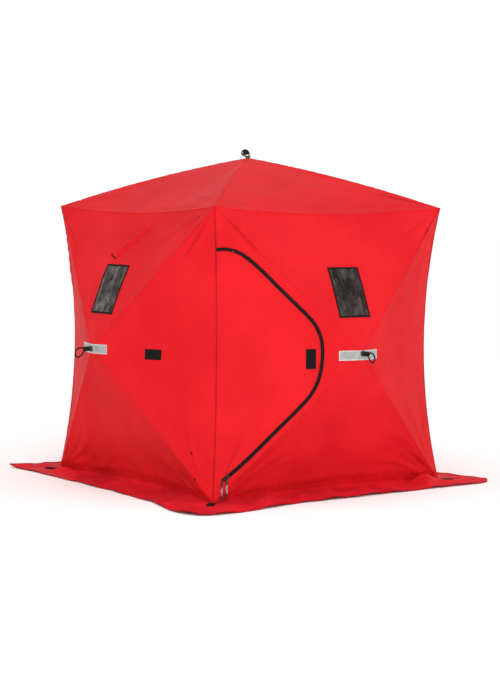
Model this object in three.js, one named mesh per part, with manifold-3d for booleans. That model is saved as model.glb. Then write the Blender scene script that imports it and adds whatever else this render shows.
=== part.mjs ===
// Pop-up hub shelter for ice fishing: four walls and a roof of sewn fabric, each pushed out by
// one hub with four poles, a zipped door in the front wall and a snow skirt around the base.
// Millimetres. +Z is up, the door wall faces -Y, and the origin is on the ground at the centre.
import * as THREE from "three";
import Module from "manifold-3d";
import { mergeVertices } from "three/addons/utils/BufferGeometryUtils.js";

const wasm = await Module();
wasm.setup();

// Driving dimensions of the stretched fabric.
const BASE_HALF = 762;
const BASE_LIFT = 4;
const EAVE_HALF = 757;
const EAVE_HEIGHT = 1506;
const WALL_HUB_REACH = 1018;
const WALL_HUB_HEIGHT = 752;
const ROOF_HEIGHT = 1780;
const CORNER_BOW = 60;
const EAVE_BOW_IN = 38;
const EAVE_BOW_DOWN = 37;
const BASE_BOW_IN = 50;
const BASE_BOW_UP = 20;
const ROOF_POLE_BOW = 20;
const FABRIC = 3;
const SEAM_GAP = 0.25;
const GRID = 8;
const CENTRE = new THREE.Vector3(0, 0, WALL_HUB_HEIGHT);

// Hubs and poles. Depths are measured inwards from the fabric's apex.
const HUB_FACE_DEPTH = 22;
const HUB_PLATE_THICK = 8;
const HUB_PLATE_RADIUS = 30;
const HUB_BOSS_RADIUS = 16;
const HUB_BOSS_HEIGHT = 7;
const PIVOT_RADIUS = 38;
const PIVOT_DEPTH = 35;
const EAR_THICK = 4;
const EAR_GAP = 9;
const EAR_LOW = 24;
const EAR_HIGH = 46;
const EAR_DEPTH = 20;
const PIN_RADIUS = 3;
const PIN_HOLE_RADIUS = 3.5;
const PIN_HEAD_RADIUS = 4.5;
const PIN_HALF = 11;
const PIN_HEAD_THICK = 1.8;
const POLE_LENGTH = 980;
const POLE_RADIUS = 5.5;
const FERRULE_RADIUS = 7.5;
const FERRULE_START = 14;
const FERRULE_END = 70;
const TONGUE_HALF = 4;
const TONGUE_RADIUS = 6;
const TIP_RADIUS = 6.5;
const TIP_LENGTH = 16;
const WALL_TIP_DEPTH = 290;
const ROOF_TIP_DEPTH = 301;
const FABRIC_HOLE_RADIUS = 12;
const ROD_SIDES = 8;
const PIN_SIDES = 8;
const HUB_SIDES = 16;

// Door, zip and its two sliders, all on the front wall.
const PANEL_TOP = 1392;
const PANEL_BOTTOM = 92;
const PANEL_NEAR_HUB = 100;
const PANEL_MARGIN = 8;
const ZIP_SPLIT = 0.6;
const FOLD_ACROSS = -690;
const FLAP_LOW = 168;
const TAPE_WIDTH = 8.5;
const TAPE_THICK = 1.5;
const TAPE_LIFT = 2;
const TAPE_END_GAP = 20;
const SLIDER = { width: 12, length: 20, thick: 6, lift: 4.5 };
const PULL = { width: 9, length: 104, thick: 4 };

// Windows, as places on a wall: across from the wall's middle, and height.
const WINDOW_WIDTH = 184;
const WINDOW_LOW = 944;
const WINDOW_HIGH = 1186;
const WINDOW_OVERLAP = 16;
const PANE_THICK = 1.2;
const FRONT_WINDOW = { low: 36, high: 4 };
const LEFT_WINDOW = { low: -20, high: 3 };

// Corner pockets, anchor tabs, skirt and rope loops.
const POCKET_REACH = 90;
const POCKET_OUTER = 5;
const POCKET_INNER = 8;
const TAB = { width: 38, length: 74, thick: 3, hole: 8, start: 1096, lift: 6 };
const SKIRT_THICK = 3;
const SKIRT_SEAM_DROP = 0.6;
const SKIRT_TUCK = 6;
const SKIRT_TOE = 42;
const SKIRT_STEPS = 14;
const ROPE_RADIUS = 4;
const ROPE_SIDES = 8;
const ROPE_STEPS = 28;

const RED = 0xd8202a;
const BLACK = 0x151517;
const FINISHES = {
  fabric: { color: RED, roughness: 0.62, metalness: 0 },
  webbing: { color: BLACK, roughness: 0.8, metalness: 0 },
  hub: { color: 0x1c1c1f, roughness: 0.5, metalness: 0 },
  pole: { color: 0xd9d4c4, roughness: 0.4, metalness: 0 },
  zip: { color: BLACK, roughness: 0.6, metalness: 0 },
  vinyl: { color: 0x5a5654, roughness: 0.1, metalness: 0 },
  rope: { color: 0x101012, roughness: 0.85, metalness: 0 },
};

const group = new THREE.Group();

function addNode(name, geometry, finish, turn = 0) {
  const mesh = new THREE.Mesh(geometry, new THREE.MeshStandardMaterial(FINISHES[finish]));
  mesh.name = name;
  mesh.rotation.z = turn;
  group.add(mesh);
  return mesh;
}

// ---- solids ----

function toSolid(geometry) {
  const bare = geometry.clone();
  bare.deleteAttribute("normal");
  bare.deleteAttribute("uv");
  const merged = mergeVertices(bare, 1e-3);
  const vertProperties = new Float32Array(merged.attributes.position.array);
  const triVerts = new Uint32Array(merged.index.array);
  return new wasm.Manifold(new wasm.Mesh({ numProp: 3, vertProperties, triVerts }));
}

function toGeometry(solid) {
  const mesh = solid.getMesh();
  const geometry = new THREE.BufferGeometry();
  geometry.setAttribute("position", new THREE.BufferAttribute(mesh.vertProperties, 3));
  geometry.setIndex(new THREE.BufferAttribute(mesh.triVerts, 1));
  return geometry;
}

function joined(parts) {
  return parts.map(toSolid).reduce((whole, part) => whole.add(part));
}

function cut(geometry, tools) {
  return tools.reduce((whole, tool) => whole.subtract(toSolid(tool)), toSolid(geometry));
}

// A closed shell: the outer points, and the same points moved towards the centre.
function shell(points, triangles, outer, inner) {
  const towards = (point, depth) => {
    const step = CENTRE.clone().sub(point).normalize();
    return point.clone().addScaledVector(step, depth);
  };
  const all = [...points.map((p) => towards(p, outer)), ...points.map((p) => towards(p, inner))];
  const count = points.length;
  const faces = [];
  const edges = new Map();
  for (const [a, b, c] of triangles) {
    faces.push(a, b, c, count + a, count + c, count + b);
    for (const [from, to] of [[a, b], [b, c], [c, a]]) {
      edges.set(`${from},${to}`, [from, to]);
    }
  }
  for (const [from, to] of edges.values()) {
    if (!edges.has(`${to},${from}`)) {
      faces.push(to, from, count + from, to, count + from, count + to);
    }
  }
  const geometry = new THREE.BufferGeometry();
  geometry.setAttribute("position", new THREE.Float32BufferAttribute(all.flatMap((p) => p.toArray()), 3));
  geometry.setIndex(faces);
  return geometry;
}

// An outline given as [across, height] pairs, extruded through the front wall.
function prism(outline) {
  const near = -600;
  const far = -1200;
  const shape = new THREE.Shape(outline.map(([x, z]) => new THREE.Vector2(x, z)));
  const geometry = new THREE.ExtrudeGeometry(shape, { depth: near - far, bevelEnabled: false });
  geometry.rotateX(Math.PI / 2);
  geometry.translate(0, near, 0);
  return geometry;
}

// ---- the stretched fabric ----

const vec = (x, y, z) => new THREE.Vector3(x, y, z);
const WALL_APEX = vec(0, -WALL_HUB_REACH, WALL_HUB_HEIGHT);
const LOWER_LEFT = vec(-BASE_HALF, -BASE_HALF, BASE_LIFT);
const LOWER_RIGHT = vec(BASE_HALF, -BASE_HALF, BASE_LIFT);
const UPPER_LEFT = vec(-EAVE_HALF, -EAVE_HALF, EAVE_HEIGHT);
const UPPER_RIGHT = vec(EAVE_HALF, -EAVE_HALF, EAVE_HEIGHT);
const EAVE_BOW = vec(0, EAVE_BOW_IN, -EAVE_BOW_DOWN);

// One triangle of a wall runs from its hub to an edge; the edge bows in under the tension.
const WALL_PANELS = [
  { apex: WALL_APEX, first: UPPER_LEFT, last: LOWER_LEFT, bow: vec(CORNER_BOW, CORNER_BOW, 0) },
  { apex: WALL_APEX, first: LOWER_LEFT, last: LOWER_RIGHT, bow: vec(0, BASE_BOW_IN, BASE_BOW_UP) },
  { apex: WALL_APEX, first: LOWER_RIGHT, last: UPPER_RIGHT, bow: vec(-CORNER_BOW, CORNER_BOW, 0) },
  { apex: WALL_APEX, first: UPPER_RIGHT, last: UPPER_LEFT, bow: EAVE_BOW },
];
const ROOF_PANEL = { apex: vec(0, 0, ROOF_HEIGHT), first: UPPER_LEFT, last: UPPER_RIGHT, bow: EAVE_BOW };

function panelPoint(panel, u, v) {
  const point = panel.apex.clone().multiplyScalar(1 - u - v);
  point.addScaledVector(panel.first, u);
  point.addScaledVector(panel.last, v);
  point.addScaledVector(panel.bow, 4 * u * v);
  if (panel === ROOF_PANEL && u + v > 0) {
    point.z += 4 * (1 - u - v) * ((u * u + v * v) / (u + v)) * ROOF_POLE_BOW;
  }
  return point;
}

// A grid over each panel, with the points on shared edges kept once.
function panelGrid(panels, place = (panel, point) => point) {
  const points = [];
  const triangles = [];
  const known = new Map();
  const indexOf = (point) => {
    const key = point.toArray().map((value) => value.toFixed(2)).join(",");
    if (!known.has(key)) {
      known.set(key, points.push(point) - 1);
    }
    return known.get(key);
  };
  for (const panel of panels) {
    const at = (i, j) => indexOf(place(panel, panelPoint(panel.shape ?? panel, i / GRID, j / GRID)));
    for (let i = 0; i < GRID; i += 1) {
      for (let j = 0; i + j < GRID; j += 1) {
        triangles.push([at(i, j), at(i + 1, j), at(i, j + 1)]);
        if (i + j < GRID - 1) {
          triangles.push([at(i + 1, j), at(i + 1, j + 1), at(i, j + 1)]);
        }
      }
    }
  }
  return { points, triangles };
}

// The share of each panel corner at a place on the front wall, before the edges bow.
function shares(panel, x, z) {
  const { apex, first, last } = panel;
  const area = (first.x - apex.x) * (last.z - apex.z) - (last.x - apex.x) * (first.z - apex.z);
  const u = ((x - apex.x) * (last.z - apex.z) - (last.x - apex.x) * (z - apex.z)) / area;
  const v = ((first.x - apex.x) * (z - apex.z) - (x - apex.x) * (first.z - apex.z)) / area;
  return { panel, u, v, least: Math.min(u, v) };
}

// The front wall's surface at a given place across and height.
function onFrontWall(x, z) {
  const rounds = 8;
  let guessX = x;
  let guessZ = z;
  let point = null;
  for (let round = 0; round < rounds; round += 1) {
    const found = WALL_PANELS.map((panel) => shares(panel, guessX, guessZ));
    const best = found.reduce((a, b) => (a.least > b.least ? a : b));
    point = panelPoint(best.panel, best.u, best.v);
    guessX += x - point.x;
    guessZ += z - point.z;
  }
  return point;
}

function raised(point, height) {
  const away = point.clone().sub(CENTRE).normalize();
  return point.clone().addScaledVector(away, height);
}

function apexHole(x, y, z, axisIsVertical) {
  const geometry = new THREE.CylinderGeometry(FABRIC_HOLE_RADIUS, FABRIC_HOLE_RADIUS, 120, 16);
  if (axisIsVertical) {
    geometry.rotateX(Math.PI / 2);
  }
  geometry.translate(x, y, z);
  return geometry;
}

function wallShell() {
  const { points, triangles } = panelGrid(WALL_PANELS);
  const geometry = shell(points, triangles, 0, FABRIC);
  geometry.translate(0, -SEAM_GAP, 0);
  return geometry;
}

function windowOutline(place, extra) {
  const half = WINDOW_WIDTH / 2 + extra;
  return [
    [place.low - half, WINDOW_LOW - extra],
    [place.low + half, WINDOW_LOW - extra],
    [place.high + half, WINDOW_HIGH + extra],
    [place.high - half, WINDOW_HIGH + extra],
  ];
}

// ---- door outline ----

// The zip runs from the upper corner edge, round the middle of the wall and back to the foot.
const ZIP_POINTS = [
  [-727, 1286], [-672, 1288], [-612, 1265], [-532, 1199], [-424, 1090], [-315, 981],
  [-268, 934], [-231, 880], [-210, 821], [-205, 760], [-210, 687], [-226, 620],
  [-253, 563], [-290, 514], [-362, 440], [-436, 368], [-541, 264], [-640, 172], [-706, 117],
];
const zipCurve = new THREE.SplineCurve(ZIP_POINTS.map(([x, z]) => new THREE.Vector2(x, z)));
const ZIP_STATIONS = 40;

function zipLine(offset) {
  const line = [];
  for (let k = 0; k <= ZIP_STATIONS; k += 1) {
    const at = k / ZIP_STATIONS;
    const point = zipCurve.getPointAt(at);
    const along = zipCurve.getTangentAt(at);
    line.push([point.x - along.y * offset, point.y + along.x * offset]);
  }
  return line;
}

// The flap: everything inside the zip, from its fold line beside the corner and above the
// parked sliders.
function flapSolid(offset) {
  const beyond = -900;
  const line = zipLine(offset);
  const foot = line[line.length - 1];
  const inside = prism([...line, [beyond, foot[1]], [beyond, line[0][1]]]);
  const fold = FOLD_ACROSS - offset;
  const low = FLAP_LOW - offset;
  const region = prism([[fold, low], [0, low], [0, EAVE_HEIGHT], [fold, EAVE_HEIGHT]]);
  return toSolid(inside).intersect(toSolid(region));
}

// The part of the front wall's door triangle that swings with the hub: it stops short of the hub
// and of the corners, and a little inside the two poles.
function doorPanelOutline(margin) {
  const beyond = -900;
  const inset = PANEL_MARGIN + margin;
  const upper = (height) => ((height - WALL_HUB_HEIGHT + inset) * EAVE_HALF) / (EAVE_HEIGHT - WALL_HUB_HEIGHT);
  const lower = (height) => ((WALL_HUB_HEIGHT - height + inset) * BASE_HALF) / (WALL_HUB_HEIGHT - BASE_LIFT);
  const near = PANEL_NEAR_HUB + margin;
  const half = near - inset;
  return [
    [-near, WALL_HUB_HEIGHT - half],
    [-near, WALL_HUB_HEIGHT + half],
    [-upper(PANEL_TOP - margin), PANEL_TOP - margin],
    [beyond, PANEL_TOP - margin],
    [beyond, PANEL_BOTTOM + margin],
    [-lower(PANEL_BOTTOM + margin), PANEL_BOTTOM + margin],
  ];
}

// ---- walls, roof, door ----

const WALLS = [
  { name: "front", turn: 0 },
  { name: "right", turn: Math.PI / 2 },
  { name: "back", turn: Math.PI },
  { name: "left", turn: -Math.PI / 2 },
];

const wholeWall = wallShell();
const wallHole = apexHole(0, -WALL_HUB_REACH, WALL_HUB_HEIGHT, false);
const cutters = {
  front: [wallHole, prism(windowOutline(FRONT_WINDOW, 0)), prism(doorPanelOutline(0))],
  left: [wallHole, prism(windowOutline(LEFT_WINDOW, 0))],
  right: [wallHole],
  back: [wallHole],
};
for (const { name, turn } of WALLS) {
  addNode(`wall_${name}`, toGeometry(cut(wholeWall, cutters[name])), "fabric", turn);
}

const panelSolid = toSolid(wholeWall).intersect(toSolid(prism(doorPanelOutline(SEAM_GAP * 2))));
const surround = panelSolid.subtract(flapSolid(ZIP_SPLIT));
const flap = panelSolid.intersect(flapSolid(-ZIP_SPLIT));
addNode("door_surround", toGeometry(surround), "fabric");
addNode("door_flap", toGeometry(flap), "fabric");

function roofGeometry() {
  const quarters = WALLS.map(({ turn }) => ({ shape: ROOF_PANEL, turn }));
  const up = vec(0, 0, 1);
  const { points, triangles } = panelGrid(quarters, (quarter, point) => point.applyAxisAngle(up, quarter.turn));
  const geometry = shell(points, triangles, 0, FABRIC);
  geometry.translate(0, 0, SEAM_GAP);
  return geometry;
}
addNode("roof_canopy", toGeometry(cut(roofGeometry(), [apexHole(0, 0, ROOF_HEIGHT, true)])), "fabric");

// ---- windows and vent ----

function patch(outline, across, up, outer, inner, rise = () => 0) {
  const [lowLeft, lowRight, highRight, highLeft] = outline;
  const points = [];
  const triangles = [];
  const mix = (a, b, t) => a + (b - a) * t;
  for (let j = 0; j <= up; j += 1) {
    for (let i = 0; i <= across; i += 1) {
      const s = i / across;
      const t = j / up;
      const x = mix(mix(lowLeft[0], lowRight[0], s), mix(highLeft[0], highRight[0], s), t);
      const z = mix(mix(lowLeft[1], lowRight[1], s), mix(highLeft[1], highRight[1], s), t);
      points.push(raised(onFrontWall(x, z), rise(s, t)));
    }
  }
  const row = across + 1;
  for (let j = 0; j < up; j += 1) {
    for (let i = 0; i < across; i += 1) {
      const at = j * row + i;
      triangles.push([at, at + 1, at + row + 1], [at, at + row + 1, at + row]);
    }
  }
  return shell(points, triangles, outer, inner);
}

const paneOuter = FABRIC + 1;
const paneInner = paneOuter + PANE_THICK;
const frontPane = patch(windowOutline(FRONT_WINDOW, WINDOW_OVERLAP), 4, 5, paneOuter, paneInner);
const leftPane = patch(windowOutline(LEFT_WINDOW, WINDOW_OVERLAP), 4, 5, paneOuter, paneInner);
addNode("window_front", frontPane, "vinyl");
addNode("window_left", leftPane, "vinyl", -Math.PI / 2);

// The vent hood stands off the left wall, just above its window and towards the eave.
const VENT_OUTLINE = [[-96, 1252], [-52, 1236], [176, 1402], [132, 1430]];
const VENT_RISE = 16;
const VENT_LIFT = 3;
const VENT_THICK = 2;
const ventDome = (s, t) => VENT_LIFT + VENT_RISE * 4 * s * (1 - s) * (1 - 0.6 * t);
addNode("vent_hood", patch(VENT_OUTLINE, 4, 6, 0, VENT_THICK, ventDome), "fabric", -Math.PI / 2);

// ---- zip ----

// A flat ribbon that follows the zip between two sideways offsets, just off the fabric.
function ribbon(from, to, kept) {
  const inner = zipLine(from);
  const outer = zipLine(to);
  const stations = inner.map((place, k) => [place, outer[k]]).filter(kept);
  const points = [];
  const triangles = [];
  stations.forEach(([low, high], k) => {
    points.push(onFrontWall(...low), onFrontWall(...high));
    if (k > 0) {
      const at = 2 * k;
      triangles.push([at - 2, at, at - 1], [at - 1, at, at + 1]);
    }
  });
  return shell(points, triangles, -(TAPE_LIFT + TAPE_THICK), -TAPE_LIFT);
}
const besideFlap = ([place]) => (
  place[0] > FOLD_ACROSS + TAPE_END_GAP && place[1] > FLAP_LOW + TAPE_END_GAP
);
addNode("zipper_tape_door", ribbon(-TAPE_WIDTH, -ZIP_SPLIT, besideFlap), "zip");
addNode("zipper_tape_fixed", ribbon(ZIP_SPLIT, TAPE_WIDTH, () => true), "zip");

// A bevelled block standing upright in front of the fabric.
function block(width, height, thick, bevel) {
  const shape = new THREE.Shape();
  const w = width / 2 - bevel;
  const h = height / 2 - bevel;
  shape.moveTo(-w, -h);
  shape.lineTo(w, -h);
  shape.lineTo(w, h);
  shape.lineTo(-w, h);
  const depth = thick - 2 * bevel;
  const geometry = new THREE.ExtrudeGeometry(shape, {
    depth, bevelThickness: bevel, bevelSize: bevel, bevelSegments: 1,
  });
  geometry.translate(0, 0, -depth / 2);
  geometry.rotateX(Math.PI / 2);
  return geometry;
}

// The door's flat part turns back from the hub to the corner by this angle.
const DOOR_SLOPE = Math.atan2(WALL_HUB_REACH - BASE_HALF, BASE_HALF);
const DOOR_NORMAL = vec(-Math.sin(DOOR_SLOPE), -Math.cos(DOOR_SLOPE), 0);
const PULL_STANDOFF = 9;

const SLIDERS = [
  { name: "lower", along: 0.995, pullX: -724, pullTop: 116 },
  { name: "upper", along: 0.981, pullX: -698, pullTop: 128 },
];
for (const { name, along, pullX, pullTop } of SLIDERS) {
  const place = zipCurve.getPointAt(along);
  const slant = zipCurve.getTangentAt(along);
  const surface = onFrontWall(place.x, place.y).addScaledVector(DOOR_NORMAL, SLIDER.lift + SLIDER.thick / 2);
  const body = block(SLIDER.width, SLIDER.length, SLIDER.thick, 1.5);
  body.rotateY(Math.atan2(slant.x, slant.y));
  body.rotateZ(-DOOR_SLOPE);
  body.translate(surface.x, surface.y, surface.z);
  addNode(`zip_slider_${name}`, toGeometry(toSolid(body)), "zip");
  const tag = block(PULL.width, PULL.length, PULL.thick, 1);
  const front = surface.y - PULL_STANDOFF;
  tag.translate(pullX, front, pullTop - PULL.length / 2);
  addNode(`zip_pull_${name}`, toGeometry(toSolid(tag)), "zip");
}

// ---- hubs and poles, each made about a hub whose outward axis is +Z, then turned into place ----

function hubGeometry() {
  const face = -HUB_FACE_DEPTH;
  const back = face - HUB_PLATE_THICK;
  const bevel = 2;
  const profile = [
    [0, back], [HUB_PLATE_RADIUS, back], [HUB_PLATE_RADIUS, face - bevel],
    [HUB_PLATE_RADIUS - bevel, face], [HUB_BOSS_RADIUS, face],
    [HUB_BOSS_RADIUS, face + HUB_BOSS_HEIGHT], [0, face + HUB_BOSS_HEIGHT],
  ].map(([radius, height]) => new THREE.Vector2(radius, height));
  const plate = new THREE.LatheGeometry(profile, HUB_SIDES);
  plate.rotateX(Math.PI / 2);
  const parts = [plate];
  const holes = [];
  for (let arm = 0; arm < 4; arm += 1) {
    const turn = Math.PI / 4 + (arm * Math.PI) / 2;
    for (const side of [-1, 1]) {
      const ear = new THREE.BoxGeometry(EAR_HIGH - EAR_LOW, EAR_THICK, EAR_DEPTH);
      const middle = (EAR_HIGH + EAR_LOW) / 2;
      ear.translate(middle, (side * (EAR_GAP + EAR_THICK)) / 2, face - EAR_DEPTH / 2);
      ear.rotateZ(turn);
      parts.push(ear);
    }
    const hole = new THREE.CylinderGeometry(PIN_HOLE_RADIUS, PIN_HOLE_RADIUS, 40, PIN_SIDES);
    hole.translate(PIVOT_RADIUS, 0, -PIVOT_DEPTH);
    hole.rotateZ(turn);
    holes.push(hole);
  }
  const solid = holes.reduce((whole, hole) => whole.subtract(toSolid(hole)), joined(parts));
  return toGeometry(solid);
}

// A pole lies along +X from its pivot at the origin, with its pin along Y.
function poleGeometry() {
  const profile = [
    [0, FERRULE_START], [FERRULE_RADIUS, FERRULE_START],
    [FERRULE_RADIUS, FERRULE_END - 2], [POLE_RADIUS, FERRULE_END],
    [POLE_RADIUS, POLE_LENGTH - TIP_LENGTH], [TIP_RADIUS, POLE_LENGTH - TIP_LENGTH + 1],
    [TIP_RADIUS, POLE_LENGTH - 4], [0, POLE_LENGTH],
  ].map(([radius, height]) => new THREE.Vector2(radius, height));
  const rod = new THREE.LatheGeometry(profile, ROD_SIDES);
  rod.rotateZ(-Math.PI / 2);
  const outline = new THREE.Shape();
  outline.moveTo(FERRULE_START + 6, TONGUE_RADIUS);
  outline.absarc(0, 0, TONGUE_RADIUS, Math.PI / 2, (3 * Math.PI) / 2, false);
  outline.lineTo(FERRULE_START + 6, -TONGUE_RADIUS);
  const tongue = new THREE.ExtrudeGeometry(outline, {
    depth: 2 * TONGUE_HALF, bevelEnabled: false, curveSegments: 4,
  });
  tongue.translate(0, 0, -TONGUE_HALF);
  tongue.rotateX(Math.PI / 2);
  const pin = new THREE.CylinderGeometry(PIN_RADIUS, PIN_RADIUS, 2 * PIN_HALF, PIN_SIDES);
  const parts = [rod, tongue, pin];
  for (const side of [-1, 1]) {
    const head = new THREE.CylinderGeometry(PIN_HEAD_RADIUS, PIN_HEAD_RADIUS, PIN_HEAD_THICK, PIN_SIDES);
    head.translate(0, side * (PIN_HALF - PIN_HEAD_THICK / 2), 0);
    parts.push(head);
  }
  return toGeometry(joined(parts));
}

const hubShape = hubGeometry();
const poleShape = poleGeometry();
const WALL_ARMS = ["upper_right", "upper_left", "lower_left", "lower_right"];
const ROOF_ARMS = ["back_right", "back_left", "front_left", "front_right"];

function placed(geometry, finish, name, matrix) {
  const mesh = addNode(name, geometry, finish);
  mesh.rotation.set(0, 0, 0);
  matrix.decompose(mesh.position, mesh.quaternion, mesh.scale);
}

// Poles start on the hub's pins and dip inwards to their tips.
function addHub(name, frameMatrix, tipDepth, arms, slopes) {
  placed(hubShape, "hub", `hub_${name}`, frameMatrix);
  const dip = Math.asin((tipDepth - PIVOT_DEPTH) / POLE_LENGTH);
  arms.forEach((arm, index) => {
    const turn = new THREE.Matrix4().makeRotationZ(slopes[index]);
    const shift = new THREE.Matrix4().makeTranslation(PIVOT_RADIUS, 0, -PIVOT_DEPTH);
    const tilt = new THREE.Matrix4().makeRotationY(dip);
    const matrix = frameMatrix.clone().multiply(turn).multiply(shift).multiply(tilt);
    placed(poleShape, "pole", `pole_${name}_${arm}`, matrix);
  });
}

const EIGHTHS = [1, 3, 5, 7].map((count) => (count * Math.PI) / 4);
for (const { name, turn } of WALLS) {
  const matrix = new THREE.Matrix4().makeRotationZ(turn);
  matrix.multiply(new THREE.Matrix4().makeTranslation(0, -WALL_HUB_REACH, WALL_HUB_HEIGHT));
  matrix.multiply(new THREE.Matrix4().makeRotationX(Math.PI / 2));
  addHub(name, matrix, WALL_TIP_DEPTH, WALL_ARMS, EIGHTHS);
}
const roofMatrix = new THREE.Matrix4().makeTranslation(0, 0, ROOF_HEIGHT);
addHub("roof", roofMatrix, ROOF_TIP_DEPTH, ROOF_ARMS, EIGHTHS);

// ---- corner pockets and anchor tabs ----

// Three flat faces that line a corner just inside the fabric.
function pocketGeometry(corner, reaches) {
  const points = [corner, ...reaches];
  const triangles = [[0, 1, 2], [0, 2, 3], [0, 3, 1]];
  return shell(points, triangles, POCKET_OUTER, POCKET_INNER);
}

const alongShare = POCKET_REACH / (2 * BASE_HALF);
const cornerEdge = WALL_PANELS[0];
const baseEdge = WALL_PANELS[1];
const eaveEdge = WALL_PANELS[3];
const edgePoint = (panel, share) => panelPoint(panel, 1 - share, share);
const mirrored = (point) => vec(point.y, point.x, point.z);
const upperReaches = [
  edgePoint(cornerEdge, alongShare),
  edgePoint(eaveEdge, 1 - alongShare),
  mirrored(edgePoint(eaveEdge, 1 - alongShare)),
];
const lowerReaches = [
  edgePoint(cornerEdge, 1 - alongShare),
  mirrored(edgePoint(baseEdge, alongShare)),
  edgePoint(baseEdge, alongShare),
];
const upperPocket = pocketGeometry(UPPER_LEFT, upperReaches);
const lowerPocket = pocketGeometry(LOWER_LEFT, lowerReaches);

// A webbing tab with an eyelet, lying on the skirt and pointing away from the corner.
function tabGeometry() {
  const shape = new THREE.Shape();
  const half = TAB.width / 2;
  const round = TAB.length - half;
  shape.moveTo(0, -half);
  shape.lineTo(round, -half);
  shape.absarc(round, 0, half, -Math.PI / 2, Math.PI / 2, false);
  shape.lineTo(0, half);
  const hole = new THREE.Path();
  hole.absarc(round, 0, TAB.hole, 0, 2 * Math.PI, true);
  shape.holes.push(hole);
  const geometry = new THREE.ExtrudeGeometry(shape, { depth: TAB.thick, bevelEnabled: false, curveSegments: 8 });
  geometry.translate(TAB.start, 0, TAB.lift);
  geometry.rotateZ((-3 * Math.PI) / 4);
  return toGeometry(toSolid(geometry));
}

const tab = tabGeometry();
const CORNERS = [
  { name: "front_left", turn: 0 },
  { name: "front_right", turn: Math.PI / 2 },
  { name: "back_right", turn: Math.PI },
  { name: "back_left", turn: -Math.PI / 2 },
];
for (const { name, turn } of CORNERS) {
  addNode(`pocket_upper_${name}`, upperPocket, "webbing", turn);
  addNode(`pocket_lower_${name}`, lowerPocket, "webbing", turn);
  addNode(`anchor_tab_${name}`, tab, "webbing", turn);
}

// ---- skirt ----

// The skirt's edge on the ground, from the front left corner round by the front.
const SKIRT_EDGE = [
  [-1064, -850], [-1009, -1031], [-807, -1059], [-400, -997], [0, -988], [500, -982], [953, -956],
  [938, -500], [940, 0], [950, 500], [1064, 850], [1009, 1031], [807, 1059], [400, 997],
  [0, 988], [-500, 985], [-925, 987], [-938, 500], [-940, 0], [-950, -500],
];

function skirtGeometry() {
  const curve = new THREE.CatmullRomCurve3(SKIRT_EDGE.map(([x, y]) => vec(x, y, 0)), true);
  const samples = curve.getSpacedPoints(400);
  const outlineAt = (angle) => {
    const away = (point) => {
      const difference = Math.atan2(point.y, point.x) - angle;
      return Math.abs(Math.atan2(Math.sin(difference), Math.cos(difference)));
    };
    return samples.reduce((a, b) => (away(a) < away(b) ? a : b));
  };
  const up = vec(0, 0, 1);
  const rings = [];
  for (const { turn } of WALLS) {
    for (let k = 0; k < SKIRT_STEPS; k += 1) {
      const seam = edgePoint(baseEdge, k / SKIRT_STEPS).applyAxisAngle(up, turn);
      const edge = outlineAt(Math.atan2(seam.y, seam.x));
      const outwards = vec(edge.x - seam.x, edge.y - seam.y, 0).normalize();
      const seamTop = seam.z - SKIRT_SEAM_DROP;
      const tuck = seam.clone().addScaledVector(outwards, -SKIRT_TUCK).setZ(seamTop);
      const toe = seam.clone().addScaledVector(outwards, SKIRT_TOE).setZ(SKIRT_THICK);
      const rim = edge.clone().setZ(SKIRT_THICK);
      rings.push([tuck, toe, rim, ...[rim, toe, tuck].map((p) => p.clone().setZ(p.z - SKIRT_THICK))]);
    }
  }
  const sides = rings[0].length;
  const positions = rings.flat().flatMap((p) => p.toArray());
  const faces = [];
  for (let k = 0; k < rings.length; k += 1) {
    const next = (k + 1) % rings.length;
    for (let i = 0; i < sides; i += 1) {
      const j = (i + 1) % sides;
      const [a, b, c, d] = [k * sides + i, k * sides + j, next * sides + j, next * sides + i];
      faces.push(a, b, c, a, c, d);
    }
  }
  const geometry = new THREE.BufferGeometry();
  geometry.setAttribute("position", new THREE.Float32BufferAttribute(positions, 3));
  geometry.setIndex(faces);
  return geometry;
}
addNode("skirt", skirtGeometry(), "fabric");

// ---- rope loops ----

// Both strands come out through the hole in the fabric. Pairs are distance out, and height.
const WALL_ROPE = [
  [-13, 5], [6, 5], [24, 5], [42, 5], [58, 7], [74, 6], [88, -1], [97, -14], [97, -29],
  [88, -41], [74, -42], [61, -32], [50, -19], [38, -9], [24, -5], [6, -5], [-13, -5],
];
// The roof's loop stands up and flops to the left.
const ROOF_ROPE = [
  [-5, -13], [-5, 0], [-6, 12], [-6, 24], [-1, 36], [10, 43], [23, 42], [33, 33],
  [34, 21], [25, 13], [14, 9], [7, 1], [5, -13],
];
const ROOF_FLOP = vec(-0.807, 0.59, 0).normalize();

function ropeGeometry(points) {
  const shape = new THREE.Shape();
  shape.absarc(0, 0, ROPE_RADIUS, 0, 2 * Math.PI, false);
  const extrudePath = new THREE.CatmullRomCurve3(points);
  const geometry = new THREE.ExtrudeGeometry(shape, {
    steps: ROPE_STEPS, curveSegments: ROPE_SIDES / 2, bevelEnabled: false, extrudePath,
  });
  return toGeometry(toSolid(geometry));
}

const wallRope = ropeGeometry(
  WALL_ROPE.map(([out, height]) => vec(0, -WALL_HUB_REACH - out, WALL_HUB_HEIGHT + height)),
);
for (const { name, turn } of WALLS) {
  addNode(`pull_rope_${name}`, wallRope, "rope", turn);
}
const roofRope = ropeGeometry(
  ROOF_ROPE.map(([side, height]) => ROOF_FLOP.clone().multiplyScalar(side).setZ(ROOF_HEIGHT + height)),
);
addNode("pull_rope_roof", roofRope, "rope");

export default group;
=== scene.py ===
"""Looks of the pop-up ice fishing shelter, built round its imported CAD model.

Lengths are in metres, +Z is up and the door wall faces -Y. A place on a wall or on the roof is
a pair (p, q), each from -1 to 1, with the hub at (0, 0) and the four corners at (+-1, +-1).
"""
import math

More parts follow.
